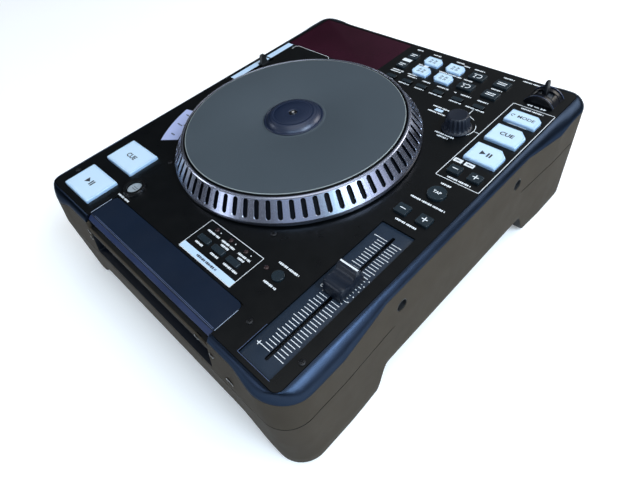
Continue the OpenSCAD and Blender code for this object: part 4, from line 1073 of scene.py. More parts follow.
def make_hub():
    """The centre cap: a thin double lip, a conical shoulder and a flat top."""
    peak = 0.06
    z0, z1 = DISC_TOP + 0.02, HUB_TOP + peak
    shape = Shape()
    hole = 3.15
    shape.lathe([(hole, z0), (HUB_R - 0.4, z0), (HUB_R, z0 + 0.25), (HUB_R, z0 + 0.6),
                 (HUB_R - 0.35, z0 + 0.85), (HUB_R - 0.9, z0 + 0.9), (HUB_R - 1.1, z0 + 0.7),
                 (HUB_R - 1.5, z0 + 0.7), (HUB_R - 1.7, z0 + 1.0), (HUB_R - 1.9, z0 + 1.3),
                 (HUB_R - 2.4, z0 + 1.7), (HUB_R - 3.9, z0 + 3.6), (HUB_R - 5.3, z1 - 1.0),
                 (HUB_R - 5.8, z1 - 0.55), (HUB_R - 6.6, z1 - 0.3), (HUB_R - 7.6, z1 - 0.26),
                 (HUB_R - 7.9, z1 - 0.36), (HUB_R - 8.3, z1 - 0.36), (HUB_R - 8.6, z1 - 0.22),
                 (8.0, z1 - 0.1), (4.2, z1 - peak), (hole + 0.4, z1 - 0.1), (hole, z1 - 0.5)], 96,
                 PLATTER_X, PLATTER_Y, loop=True)
    return shape


def make_pin():
    low, high = box_mm("spindle")
    r = (high[0] - low[0]) / 2
    shape = Shape()
    shape.lathe([(0, low[2]), (r - 0.3, low[2]), (r, low[2] + 0.3), (r, high[2] - 1.3),
                 (r - 0.2, high[2] - 1.1), (1.7, high[2] - 1.1), (1.5, high[2] - 0.9), (0, high[2] - 0.9)],
                 40, PLATTER_X, PLATTER_Y, 1)
    shape.lathe([(0, high[2] - 1.0), (1.5, high[2] - 1.0), (1.45, high[2] - 0.3), (1.1, high[2] - 0.06),
                 (0.5, high[2]), (0, high[2] - 0.1)], 32, PLATTER_X, PLATTER_Y)
    return shape


# ------------------------------------------------------------------ buttons
FLANGE_W, FLANGE_T = 1.2, 1.0
PALE_CAPS = {"deck_play_button", "deck_cue_button", "mode_button", "cue_button", "play_button",
             "hot_button_1", "hot_button_2", "hot_button_3", "hot_button_4"}
ROUND_CAPS = {"round_button", "range_button", "tap_button"}
BUTTONS = [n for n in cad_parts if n.endswith("button") or n.split("_")[0] in
           ("mode", "row", "hot", "loop", "disc", "page") and n[-1].isdigit()]


def cap_outline(name, w, d):
    clip = min(w, d) * 0.28
    if name in ROUND_CAPS:
        return circle_points(w / 2, 40)
    if name.startswith("hot"):
        return fillet([(-w / 2 + clip, -d / 2), (w / 2, -d / 2), (w / 2, d / 2 - clip),
                       (w / 2 - clip, d / 2), (-w / 2, d / 2), (-w / 2, -d / 2 + clip)], 0.8, 3)
    if name in ("mode_button", "cue_button", "play_button"):
        return fillet([(-w / 2, -d / 2), (w / 2, -d / 2), (w / 2, d / 2 - clip), (w / 2 - clip, d / 2),
                       (-w / 2, d / 2)], 1.0, 3)
    return rectangle(w, d, 1.2 if w > 20 else 0.7, 4)


def play_pause(shape, x, y, z, size, slot):
    """A play triangle with two pause bars."""
    shape.ink([(x - 1.5 * size, y - 0.8 * size), (x - 0.1 * size, y), (x - 1.5 * size, y + 0.8 * size)], z,
              slot)
    for k in (0.25, 0.95):
        shape.ink([(x + k * size, y - 0.75 * size), (x + (k + 0.42) * size, y - 0.75 * size),
                   (x + (k + 0.42) * size, y + 0.75 * size), (x + k * size, y + 0.75 * size)], z, slot)


def arc_path(cx, cy, r, start, end, steps=16):
    return [(cx + r * cos(radians(mix(start, end, i / steps))),
             cy + r * sin(radians(mix(start, end, i / steps))))
            for i in range(steps + 1)]


def sign(shape, x, y, z, size, plus, slot=1):
    t = size * 0.16
    shape.ink([(x - size, y - t), (x + size, y - t), (x + size, y + t), (x - size, y + t)], z, slot)
    if plus:
        for a, b in ((t, size), (-size, -t)):
            shape.ink([(x - t, y + a), (x + t, y + a), (x + t, y + b), (x - t, y + b)], z, slot)


def cap_marks(shape, name, x, y, z):
    """What is printed on a cap."""
    if name in ("deck_play_button", "play_button"):
        play_pause(shape, x, y, z, 3.0 if name == "play_button" else 3.4, 1)
    elif name in ("deck_cue_button", "cue_button"):
        shape.text("CUE", 5.4 if name == "cue_button" else 6.0, x, y, z, 1, 1.05, 0.15)
    elif name == "mode_button":
        shape.text("MODE", 4.7, x + 1.9, y, z, 1, 1.03, 0.045)
        shape.stroke(arc_path(x - 8.6, y, 1.3, 60, 300, 10), 0.5, z, 1)
        shape.ink([(x - 8.1, y + 1.9), (x - 7.1, y + 1.0), (x - 8.1, y + 0.1)][::-1], z, 1)
    elif name == "tap_button":
        shape.text("TAP", 3.4, x, y, z, 1, 1.05, 0.07)
    elif name.startswith("hot"):
        for row in (1.5, -1.7):
            for k in (-3.3, 0.9):
                shape.stroke([(x + k, y + row - 1.1), (x + k + 0.9, y + row + 1.1),
                              (x + k + 1.5, y + row - 1.1)], 0.55, z, 1)
                shape.stroke([(x + k + 2.2, y + row + 1.1), (x + k + 2.2, y + row - 1.1)], 0.5, z, 1)
    elif name in ("bend_minus_button", "minus_button"):
        sign(shape, x, y + 0.3, z, 2.2, False)
    elif name in ("bend_plus_button", "plus_button"):
        sign(shape, x, y + 0.3, z, 2.3, True)
    elif name.startswith("loop"):
        shape.stroke(arc_path(x + 1.2, y - 0.2, 2.4, -110, 130, 12), 0.7, z, 1)
        shape.stroke([(x - 4.4, y + 1.9), (x - 0.4, y + 1.9)], 0.7, z, 1)
        shape.ink([(x - 1.4, y - 1.6), (x - 3.6, y - 2.6), (x - 1.4, y - 3.6)], z, 1)
        shape.ink(circle_points(0.8, 10, x - 2.2, y), z, 1)
    elif name.startswith("disc") or name.startswith("page"):
        half = 4.2 if name.startswith("disc") else 3.0
        shape.bars(x - half, x + half, y + 1.2, 1.3, z, 1)
        shape.bars(x - half, x + half - 0.8, y - 1.2, 1.3, z, 1)
    elif name == "round_button":
        shape.bars(x - 2.6, x + 2.6, y + 0.9, 0.8, z, 1, 0.7)
        shape.bars(x - 2.6, x + 2.6, y - 0.9, 0.8, z, 1, 0.7)


def make_button(name):
    """A cap with rounded edges and a faintly crowned top, its flange under the panel and its stem."""
    low, high = box_mm(name)
    cx, cy = (low[0] + high[0]) / 2, (low[1] + high[1]) / 2
    w, d = high[0] - low[0] - 2 * FLANGE_W, high[1] - low[1] - 2 * FLANGE_W
    top = high[2]
    flange_top = DECK - PANEL_T - 0.3
    outline = cap_outline(name, w, d)
    big = w > 20
    edge = 1.25 if big else 0.8 if name.startswith("hot") else 0.5
    shape = Shape()
    levels = [(FLANGE_W - 0.2, flange_top - FLANGE_T), (FLANGE_W, flange_top - FLANGE_T + 0.2),
              (FLANGE_W, flange_top), (0, flange_top), (0, top - edge)]
    levels += [(-edge * 0.8 * (1 - cos(a)), top - edge * (1 - sin(a)))
               for a in (pi / 12, pi / 6, pi / 4, pi / 3, 5 * pi / 12)]
    rings = [[(x + cx, y + cy, z) for x, y in grow(outline, g)] for g, z in levels]
    inner = grow(outline, -edge * 0.8)
    crown = 0.10 if big else 0.06
    for share, lift in ((1.0, -crown), (0.95, -crown * 0.75), (0.88, -crown * 0.5), (0.78, -crown * 0.3),
                        (0.6, -crown * 0.12), (0.35, -crown * 0.04)):
        rings.append([(x * share + cx, y * share + cy, top + lift) for x, y in inner])
    shape.loft(rings)
    shape.lathe([(1.6, low[2]), (2.0, low[2] + 0.4), (2.0, flange_top - FLANGE_T + 0.1),
                 (0, flange_top - FLANGE_T + 0.1)],
                16, cx, cy)
    cap_marks(shape, name, cx, cy, top - 0.01)
    if name in PALE_CAPS:
        paints = [PALE_CAP, DARK_INK]
    elif name == "round_button":
        paints = [LENS, DARK_INK]
    elif name.startswith("row"):
        paints = [BLACK_CAP, WHITE_INK, DARK_CAP]
    else:
        paints = [DARK_CAP, WHITE_INK]
    obj = piece(name + "_cap", shape, paints, name, [name])
    # Row caps: upward faces near the top get the lighter dark-cap colour and the rest near-black, a painted
    # lit top and painted side shade.
    if len(paints) > 2:
        for face in obj.data.polygons:
            if face.material_index == 0 and face.normal.z > 0.6 and face.center.z / MM > top - 1.0:
                face.material_index = 2
    # tone: painted glow and shade for the pale caps, 1 in the middle of the top, falling to 0 at the edges
    # and down the sides.
    tone = obj.data.attributes.new("tone", "FLOAT", "POINT")
    tone.data.foreach_set("value", [
        smooth_step(-2.0, 4.0, min(w / 2 - abs(v.co.x / MM - cx), d / 2 - abs(v.co.y / MM - cy)))
        * smooth_step(top - 3.2, top - 0.3, v.co.z / MM) for v in obj.data.vertices])


# ------------------------------------------------------------------ controls
KNOB_X, KNOB_Y = centre_mm("parameter_knob")[:2]
KNOB_LOW, KNOB_TOP = DECK + 0.3, box_mm("parameter_knob")[1][2]
KNOB_R = (box_mm("parameter_knob")[1][0] - box_mm("parameter_knob")[0][0]) / 2


def make_knob():
    """The fluted knob, on a plain base ring."""
    flutes, per = 18, 8
    rings = []

    def ring(r, z, depth):
        out = []
        for i in range(flutes * per):
            a = 2 * pi * i / (flutes * per)
            wave = abs(cos(a * flutes / 2)) ** 1.5
            rr = r - depth * wave
            out.append((KNOB_X + rr * cos(a), KNOB_Y + rr * sin(a), z))
        return out

    for r, z, depth in ((3.0, KNOB_LOW - 8, 0), (3.0, KNOB_LOW + 0.2, 0), (KNOB_R - 0.4, KNOB_LOW, 0),
                        (KNOB_R, KNOB_LOW + 0.3, 0), (KNOB_R, KNOB_LOW + 1.1, 0),
                        (KNOB_R - 0.4, KNOB_LOW + 1.5, 0), (KNOB_R - 1.1, KNOB_LOW + 1.7, 0.2),
                        (KNOB_R - 1.3, KNOB_LOW + 2.3, 0.9), (KNOB_R - 1.9, KNOB_LOW + 5.0, 0.95),
                        (KNOB_R - 2.6, KNOB_TOP - 2.6, 0.9), (KNOB_R - 2.9, KNOB_TOP - 1.4, 0.7),
                        (KNOB_R - 3.3, KNOB_TOP - 0.6, 0.3), (KNOB_R - 4.0, KNOB_TOP - 0.12, 0.05),
                        (KNOB_R - 4.8, KNOB_TOP, 0), (KNOB_R - 5.4, KNOB_TOP - 0.12, 0),
                        (2.0, KNOB_TOP - 0.16, 0)):
        rings.append(ring(r, z, depth))
    shape = Shape()
    shape.loft(rings)
    return shape


FADER_LOW, FADER_HIGH = box_mm("fader_knob")
FADER_X = (FADER_LOW[0] + FADER_HIGH[0]) / 2
PAN_X0, PAN_X1 = FADER_X - 15.0, FADER_X + 11.5
PAN_Y0, PAN_Y1 = -PANEL_Y + 3.5, -PANEL_Y + 127.9
PAN_Z = DECK - PANEL_T
FADER_MID = (PAN_Y0 + PAN_Y1) / 2


def make_fader_knob():
    """The fader's cap: a tall ridge behind, a valley and a lower lip in front."""
    y0, y1 = FADER_LOW[1], FADER_HIGH[1]
    low, top = PAN_Z + 0.7, FADER_HIGH[2]
    half = (FADER_HIGH[0] - FADER_LOW[0]) / 2
    side = [(y0, low), (y1, low), (y1 - 0.5, low + 2.5), (y1 - 1.5, low + 6.5), (y1 - 2.6, top - 2.2),
            (y1 - 3.1, top - 0.8), (y1 - 3.9, top - 0.1), (y1 - 5.6, top), (y1 - 7.0, top - 0.35),
            (y1 - 7.7, top - 1.3), (y1 - 8.6, top - 3.4), (y1 - 10.2, top - 5.0), (y1 - 12.2, top - 5.5),
            (y0 + 7.4, top - 5.0), (y0 + 5.4, top - 4.2), (y0 + 3.2, top - 4.0), (y0 + 1.8, top - 4.8),
            (y0 + 0.9, top - 6.6), (y0 + 0.3, low + 3.0)]
    cy, cz = sum(p[0] for p in side) / len(side), sum(p[1] for p in side) / len(side)
    rings = []
    for x, inset in ((-half, 0.9), (-half + 0.25, 0.35), (-half + 0.8, 0.0), (-half + 3.4, 0.0),
                     (half - 3.4, 0.0), (half - 0.8, 0.0), (half - 0.25, 0.35), (half, 0.9)):
        ring = []
        for y, z in side:
            reach = hypot(y - cy, z - cz)
            k = max(0.0, 1 - inset / reach)
            ring.append((FADER_X + x, cy + (y - cy) * k, max(low, cz + (z - cz) * k)))
        rings.append(ring)
    shape = Shape()
    shape.loft(rings)
    shape.block([FADER_X - 0.7, cy - 2.5, DECK - 9], [FADER_X + 0.7, cy + 2.5, low + 0.3], 0.2)
    line_z = top - 0.02
    shape.ink([(FADER_X - half + 0.7, y1 - 5.6), (FADER_X + half - 0.7, y1 - 5.6),
               (FADER_X + half - 0.7, y1 - 4.4), (FADER_X - half + 0.7, y1 - 4.4)], line_z, 1, 0.05)
    return shape


def make_fader_plate():
    """The recessed scale plate with the fader's slot."""
    shape = Shape()
    shape.prism(rectangle(PAN_X1 - PAN_X0 - 0.2, PAN_Y1 - PAN_Y0 - 0.2, 0.5, 2, (PAN_X0 + PAN_X1) / 2,
                          FADER_MID),
                [(0, PAN_Z + 0.01), (0, PAN_Z + 0.16), (-0.1, PAN_Z + 0.22)])
    return shape


def make_fader_slot():
    hole = Shape()
    hole.prism(rectangle(2.4, 111, 1.1, 4, FADER_X, FADER_MID), [(0, PAN_Z - 1), (0, PAN_Z + 1)])
    return hole


def make_window():
    """The smoked window, with a bevelled edge."""
    low, high = box_mm("display_window")
    shape = Shape()
    outline = rectangle(high[0] - low[0], high[1] - low[1], 1.2, 4, (low[0] + high[0]) / 2,
                        (low[1] + high[1]) / 2)
    shape.prism(outline, [(0, low[2]), (0, high[2] - 0.3), (-0.15, high[2] - 0.08), (-0.4, high[2])])
    return shape


def make_ring_bezel():
    """The raised black ring round the small lens button."""
    x, y = centre_mm("round_button")[:2]
    z = box_mm("top_panel")[1][2]
    shape = Shape()
    shape.lathe([(6.2, DECK + 0.02), (9.2, DECK + 0.02), (9.0, DECK + 0.8), (8.72, z - 0.5),
                 (8.3, z + 0.02), (7.6, z + 0.12), (6.9, z - 0.15), (6.35, z - 1.1)], 48, x, y, loop=True)
    return shape


# ------------------------------------------------------------------ screws


def make_screw_head(r, t):
    """A round head with a cross recess, standing on Z = 0."""
    head = Shape()
    head.lathe([(0, 0), (r, 0), (r, t * 0.45), (r * 0.93, t * 0.72), (r * 0.74, t * 0.93), (r * 0.5, t),
                (0, t)], 28)
    cross = Shape()
    arm, w = r * 0.62, r * 0.13
    outline = [(arm, -w), (arm, w), (w, w), (w, arm), (-w, arm), (-w, w), (-arm, w), (-arm, -w), (-w, -w),
               (-w, -arm), (w, -arm), (w, -w)]
    cross.add([(x * 0.7, y * 0.7, t * 0.35) for x, y in outline] + [(x, y, t * 1.3) for x, y in outline],
              [tuple(range(12))[::-1], tuple(range(12, 24))] +
              [(i, (i + 1) % 12, 12 + (i + 1) % 12, 12 + i) for i in range(12)])
    obj = link_mesh("head", raw_mesh("head", head))
    drill(obj, cross)
    out = Shape()
    out.add([tuple(v.co / MM) for v in obj.data.vertices], [tuple(p.vertices) for p in obj.data.polygons])
    bpy.data.objects.remove(obj)
    return out


PANEL_SCREWS = [(PANEL_X - 3.3, -PANEL_Y + 22), (PANEL_X - 44.9, -PANEL_Y + 20),
                (PANEL_X - 84.3, -PANEL_Y + 74.3), (-PANEL_X + 64.1, -PANEL_Y + 73.9),
                (-PANEL_X + 6.7, -PANEL_Y + 20.4)]


def make_panel_screws():
    shape = Shape()
    head = make_screw_head(2.1, 0.9)
    for k, (x, y) in enumerate(PANEL_SCREWS):
        shape.join(head.moved(Matrix.Translation((x, y, DECK)) @ Matrix.Rotation(radians(20 + 37 * k), 4,
            "Z")))
        shape.lathe([(1.2, DECK - 7), (1.2, DECK + 0.05)], 16, x, y)
    side_head = make_screw_head(2.8, 1.6)
    bright_head = make_screw_head(2.8, 1.6)
    bright_head.slots = [1] * len(bright_head.faces)
    for side in (-1, 1):
        for k, y in enumerate((-SIDE_SCREW_Y, SIDE_SCREW_Y)):
            place = Matrix.Translation((side * CUP_FLOOR, y, SIDE_SCREW_Z)) @ Matrix.Rotation(side * pi / 2,
                4, "Y")
            shape.join(bright_head.moved(place @ Matrix.Rotation(radians(15 + 50 * k), 4, "Z")))
            shape.lathe_x([(1.5, side * (CUP_FLOOR - 8)), (1.5, side * (CUP_FLOOR + 0.05))], 16, y,
                          SIDE_SCREW_Z)
    seat = BELLY_Z + 3.5
    for x, y in BELLY_SCREWS:
        shape.join(side_head.moved(Matrix.Translation((x, y, seat)) @ Matrix.Rotation(pi, 4, "X")))
        shape.lathe([(1.5, seat - 0.05), (1.5, seat + 4.5)], 16, x, y)
    return shape


BELLY_SCREWS = [(-70, 1), (78, 1), (-78, -95), (92, -95), (0, 152.5), (-109.8, 152.5)]


def make_cups():
    """The four round recesses of the side screws."""
    shape = Shape()
    for side in (-1, 1):
        for y in (-SIDE_SCREW_Y, SIDE_SCREW_Y):
            face = HALF_W - mix(SIDE_WAIST, SIDE_LEAN, wall_rise(SIDE_SCREW_Z))
            shape.lathe_x([(CUP_R + 0.05, side * (face - 0.15)), (CUP_R - 0.35, side * (face - 0.1)),
                           (CUP_R - 0.5, side * (face - 0.9)), (CUP_R - 0.5, side * CUP_FLOOR),
                           (1.9, side * CUP_FLOOR), (1.9, side * (CUP_FLOOR - 1.2)),
                           (CUP_R + 0.4, side * (CUP_FLOOR - 1.2)), (CUP_R + 0.4, side * (face - 3))], 32,
                           y, SIDE_SCREW_Z, loop=True)
    return shape


# ------------------------------------------------------------------ printed marks


def outline_frame(shape, x0, y0, x1, y1, width=0.5, r=0.8):
    shape.stroke(rectangle(x1 - x0, y1 - y0, r, 3, (x0 + x1) / 2, (y0 + y1) / 2), width, closed=True)


def patch(shape, x0, y0, x1, y1, r=0.3):
    shape.ink(rectangle(x1 - x0, y1 - y0, r, 2, (x0 + x1) / 2, (y0 + y1) / 2))


def chevrons(shape, x, y, size, direction):
    for k in (0, 1):
        a = x + direction * k * size
        points = [(a, y - size * 0.55), (a + direction * size, y), (a, y + size * 0.55)]
        shape.ink(points if direction > 0 else points[::-1])


def make_white_print():
    """White frames, lines, symbols and greeked labels on the panel."""
    s = Shape()
    outline_frame(s, 102.0, 23.1, 136.0, 127.1)
    outline_frame(s, 7.6, -134.8, 63.2, -106.1, 0.4, 0.3)
    # Labels of the four rows at the back
    for x0, x1, y in ((-13, -6, 156.4), (5.5, 14, 156.4), (30, 38.5, 156.4), (39, 45, 154), (50, 59.5, 154),
                      (77, 87, 155.4), (3.5, 8.5, 136), (26, 49, 135.7), (51, 60, 135.7), (77, 87, 135.7),
                      (-12, 0, 118.2), (-12, -1, 115.4), (5, 15, 118.2), (7, 17, 115.2), (23, 31.5, 115.2),
                      (38, 49.5, 115.2), (55, 57, 115.2), (61.5, 71, 115.2), (77, 87, 115.2),
                      (-9, -1, 103.4), (6, 17, 103.4), (23, 33, 103.4), (38, 51, 103.4), (58, 69, 103.4),
                      (73.5, 90, 103.4), (92.5, 109, 158.6), (110, 128, 124.2), (111, 126.5, 102.4),
                      (73, 90, 63), (77, 87, 59.9), (52, 67, 90.4), (52, 68, 83.2),
                      (110, 129, 25.6), (110.5, 119.5, 17.5), (101.5, 129, -4.4), (106.5, 123, -27.6),
                      (13, 26, -113.6), (28.5, 42, -113.6), (46, 58, -113.6), (31, 39, -116.3),
                      (49, 55, -116.3), (14, 23, -125.3), (31, 40, -125.3), (45, 59, -125.3),
                      (73, 91, -101.6), (76, 87, -117.5), (-75, -60, -135)):
        s.bars(x0, x1, y, 1.55)
    for x0, y0, x1, y1 in ((-14, 134, -5, 138.4), (9.4, 134, 14, 138.2), (103, 42, 110, 46),
                           (112, 42, 119.5, 46)):
        patch(s, x0, y0, x1, y1)
    for x in (115.5, 121):
        s.ink(circle_points(0.8, 12, x, 159))
    # Arrows in front of the lever
    chevrons(s, 115.6, 130.9, 2.3, -1)
    chevrons(s, 122.4, 130.9, 2.3, 1)
    patch(s, 117, 130.5, 121, 131.4, 0.1)
    # Arc, tie line and hook beside the knob
    s.stroke(arc_path(KNOB_X, KNOB_Y + 3.3, 12.4, -36, 36, 10), 0.55)
    s.stroke([(KNOB_X + 12.4, KNOB_Y + 3.6), (102.0, KNOB_Y + 3.6)], 0.5)
    s.stroke([(81.8, 101.5), (81.8, 95.6), (83.4, 93.6), (89.2, 91.0)], 0.55)
    # Line with cut corners behind the slide lever
    s.stroke([(-122, 94), (-122, 99), (-119.5, 101.5), (-78, 101.5), (-74.6, 98.5)], 0.4)
    # Dots beside the lamps
    for x in (19, 35, 51):
        s.ink(circle_points(0.45, 10, x + 4, -110))
    return s


def make_blue_print():
    """Pale strips: under the three keys, along the slide lever, and the small box by the knob."""
    s = Shape()
    patch(s, 7.9, -134.5, 62.9, -129.7, 0.1)
    patch(s, -133.6, 23, -126.6, 67.5, 0.3)
    patch(s, -133.6, 69.5, -126.6, 100.5, 0.3)
    patch(s, 56.5, 85.3, 63.5, 88.4, 0.2)
    return s


def make_legend():
    """The pale sector beside the platter."""
    s = Shape()
    inner, outer = 103.5, 119.0
    a0, a1 = 194.7, 216.6
    path = arc_path(PLATTER_X, PLATTER_Y, outer, a0, a1, 20) + arc_path(PLATTER_X, PLATTER_Y, inner, a1, a0,
        20)
    s.ink(path)
    return s


def make_dark_print():
    """Dark marks on the pale patches."""
    s = Shape()
    z = INK_Z + INK_T
    for a, long in ((198.5, 6), (205.5, 7), (212.5, 5)):
        x, y = PLATTER_X + 111 * cos(radians(a)), PLATTER_Y + 111 * sin(radians(a))
        s.bars(x - long / 2, x + long / 2, y, 1.5, z)
    s.ink([(PLATTER_X + 105.5 * cos(radians(a)), PLATTER_Y + 105.5 * sin(radians(a)))
           for a in (204.6, 205.5, 206.4)] +
          [(PLATTER_X + 107.6 * cos(radians(205.5)), PLATTER_Y + 107.6 * sin(radians(205.5)))], z)
    s.bars(25, 46, -132.1, 1.7, z, 0, 1.2)
    for x0, x1 in ((104.3, 108.8), (113.3, 118.3)):
        s.bars(x0, x1, 44, 1.3, z, 0, 0.8)
    return s


TICK_Z = PAN_Z + 0.225
TICKS, TICK_STEP, TICK_Y = 41, 2.525, -147.0


def tick(x0, x1, width=0.42):
    s = Shape()
    s.ink([(x0, -width / 2), (x1, -width / 2), (x1, width / 2), (x0, width / 2)], 0.0)
    return s


def make_scale_signs():
    """Plus sign, zero and dots on the fader's scale."""
    s = Shape()
    sign(s, 105.6, -147.2, TICK_Z, 1.5, True, 0)
    s.stroke(circle_points(0.9, 14, 106.0, -96.6), 0.4, TICK_Z, closed=True)
    sign(s, 105.6, -46.0, TICK_Z, 1.5, False, 0)
    for k in range(5):
        s.ink(circle_points(0.42, 10, 126.2, -96 + 4.7 * k), TICK_Z)
    return s


# ------------------------------------------------------------------ building


def build_case():
    piece("case_shell", make_case(), [CASE_PLASTIC, UNDERSIDE_BLACK_AND_SHADE], "base", ["bottom_case"],
          30, make_case_holes())
    piece("slot_bay", make_bay(), [BAY_NAVY], "base")
    piece("bay_fittings", make_bay_fittings(), [BLACK_GLOSS], "base")
    piece("lip_gap", make_lip_gap(), [VISOR_PAINTED_SHADE, PAINTED_SHADE_BLACK], "base")
    piece("screw_cups", make_cups(), [BLACK_PLASTIC], "base")
    piece("jack_trims", make_jack_trims(), [CHROME, JACK_RED, WHITE_INK], "base")
    piece("glossy_rim", make_rim(), [RIM_GLOSS], "base", ["top_cover"], 40, make_rim_notch())
    piece("cover_strip", make_cover(), [SLATE, BEVEL_PAINTED_SHEEN], "base", ["slot_cover"], 25)
    piece("window_pane", make_window(), [SMOKE], "base", ["display_window"])
    piece("screw_set", make_panel_screws(), [SCREW_STEEL, CHROME], "base", ["screws"])


def build_platter():
    sector = make_slot_sector()
    repeated("platter_skirt", sector, SLOTS, ALUMINIUM, "platter", 2 * pi / SLOTS,
             (PLATTER_X, PLATTER_Y, 0), nodes=["platter_ring"], sharp=40)
    piece("platter_edges", make_platter_body(), [ALUMINIUM, PAINTED_SHADE_BLACK], "platter")
    piece("platter_web", make_platter_deck(), [SLOT_PAINTED_SHADE], "platter")
    piece("scratch_disc_plate", make_disc(), [DISC_GREY, DISC_EDGE_PAINTED_HIGHLIGHT, PAINTED_SHADE_BLACK], "scratch_disc",
          ["slip_disc"])
    piece("centre_cap", make_hub(), [HUB_BLACK], "scratch_disc", ["hub_cap"], 50)
    piece("centre_pin", make_pin(), [CHROME, DARK_METAL], "scratch_disc", ["spindle"])


def build_controls():
    for name in BUTTONS:
        make_button(name)
    piece("lens_ring", make_ring_bezel(), [BLACK_GLOSS], "base")
    piece("lamp_lenses", make_lamp_lenses(), [LAMP_LENS], "base")
    piece("saddle_arch", make_saddle(), [LEVER_BLACK, EDGE_PAINTED_HIGHLIGHT], "base", ["lever_saddle"],
          28)
    piece("fin_lever", make_lever(), [LEVER_BLACK, SHIELD_GREY], "lever", ["bend_lever"], 40)
    piece("fluted_knob", make_knob(), [KNOB_RUBBER], "knob", ["parameter_knob"], 50)
    piece("fader_cap", make_fader_knob(), [FADER_PLASTIC, WHITE_INK], "fader", ["fader_knob"],
          50)
    piece("fader_scale_plate", make_fader_plate(), [SCALE_SLATE], "base",
          holes=make_fader_slot())


LAMPS = [(key_x, -PANEL_Y + 52.4) for key_x in (PANEL_X - 118.3, PANEL_X - 103, PANEL_X - 87.3,
                                                PANEL_X - 66.9)]


def make_lamp_lenses():
    shape = Shape()
    for x, y in LAMPS:
        shape.lathe([(0, DECK - 1.0), (1.66, DECK - 1.0), (1.66, DECK + 0.2), (1.5, DECK + 0.45),
                     (1.1, DECK + 0.62), (0.5, DECK + 0.72), (0, DECK + 0.74)], 20, x, y)
    return shape


def make_saddle():
    """The arched saddle of the lever: two raised rails, sunk flanks and a slot along the arch."""
    x0, y0 = centre_mm("lever_saddle")[:2]
    low, high = box_mm("lever_saddle")
    half, chord = (high[1] - low[1]) / 2, (high[0] - low[0]) / 2
    lift = 0.12
    rise = high[2] - DECK - lift
    r = (chord ** 2 + rise ** 2) / (2 * rise)
    pivot = DECK + rise - r
    limit = acos((r - rise) / r)
    slot_angle = radians(30)
    shape = Shape()

    def band(a0, a1, rows, count):
        """A strip of arch between two angles, its section given as (y, radius) round a closed loop."""
        rings = []
        for i in range(count + 1):
            a = mix(a0, a1, i / count)
            ring = []
            for y, rr in rows:
                z = pivot + rr * cos(a)
                ring.append((x0 + rr * sin(a), y0 + y, max(z, DECK + 0.02)))
            rings.append(ring)
        return shape.loft(rings)

    def rows(y0_, y1_, outer):
        inner = r - 2.0
        return [(y0_, inner)] + [(y0_ + t * (y1_ - y0_), outer(y0_ + t * (y1_ - y0_)))
                                 for t in (0.0, 0.08, 0.2, 0.3, 0.4, 0.55, 0.7, 0.85, 0.94, 1.0)] + [(y1_,
                                     inner)]

    def crown(y):
        edge = half - abs(y)
        if edge < 0.15:
            return r - 0.35
        if edge < 1.5:
            return r
        if edge < 1.9:
            return r - 0.75
        return r - 0.8 + 0.25 * smooth_step(4.2, 3.6, abs(y))

    def rail_line(y, width, slot):
        """A fine raised line along the arch."""
        rings = []
        for i in range(31):
            a = mix(-limit * 0.93, limit * 0.93, i / 30)
            rings.append([(x0 + rr * sin(a), y0 + yy, max(pivot + rr * cos(a), DECK + 0.02)) for yy, rr in
                          ((y, r - 0.3), (y, r + lift), (y + width, r + lift), (y + width, r - 0.3))])
        shape.loft(rings, slot)

    # Both rail lines take the second material: a painted highlight along the rails' edges.
    rail_line(-half + 1.05, 0.3, 1)
    rail_line(half - 1.35, 0.3, 1)
    band(-limit, limit, rows(-half, -3.5, crown), 30)
    band(-limit, limit, rows(3.5, half, crown), 30)
    band(-limit, -slot_angle, rows(-3.5, 3.5, lambda y: r - 0.8), 6)
    band(slot_angle, limit, rows(-3.5, 3.5, lambda y: r - 0.8), 6)
    for side in (-1, 1):
        wall = []
        for i in range(25):
            a = mix(-limit, limit, i / 24)
            wall.append((x0 + (r - 0.3) * sin(a), pivot + (r - 0.3) * cos(a)))
        rings = [[(x, y0 + side * (half - d), max(z, DECK + 0.02)) for x, z in wall] for d in (0.35, 1.7)]
        shape.loft(rings)
    return shape


def make_lever():
    """The fin lever with its ribbed shield and hub."""
    x0, y0 = centre_mm("bend_lever")[:2]
    high = box_mm("bend_lever")[1][2]
    rise = box_mm("lever_saddle")[1][2] - DECK
    chord = (box_mm("lever_saddle")[1][0] - box_mm("lever_saddle")[0][0]) / 2
    r = (chord ** 2 + rise ** 2) / (2 * rise)
    pivot = DECK + rise - r
    shield = r - 2.5
    shape = Shape()
    rings = []
    for z, wx, wy in ((pivot + shield - 1, 2.1, 3.0), (pivot + shield + 0.4, 2.05, 3.0),
                      (DECK + rise + 1.0, 1.85, 2.9), (mix(DECK + rise, high, 0.45), 1.6, 2.75),
                      (high - 1.6, 1.3, 2.5), (high - 0.7, 1.15, 2.2), (high - 0.2, 0.9, 1.6),
                      (high, 0.5, 0.9)):
        rings.append([(x, y, z) for x, y in rectangle(2 * wx, 2 * wy, min(0.8, wx * 0.7), 4, x0, y0)])
    shape.loft(rings)
    rings = []
    for i in range(-24, 25):
        a = radians(34 * i / 24)
        rr = shield - (0.35 if i % 3 == 0 else 0.0)
        rings.append([(x0 + q * sin(a), y0 + y, pivot + q * cos(a)) for y, q in
                      ((-5.0, shield - 2), (-5.0, rr), (5.0, rr), (5.0, shield - 2))])
    shape.loft(rings, 1)
    shape.lathe_y([(1.6, y0 - 5.2), (3.2, y0 - 5.2), (3.2, y0 + 5.2), (1.6, y0 + 5.2)], 28, x0, pivot, 0,
                  True)
    shape.block([x0 - 1.4, y0 - 3, pivot + 2.9], [x0 + 1.4, y0 + 3, pivot + shield - 0.9], 0.2)
    return shape


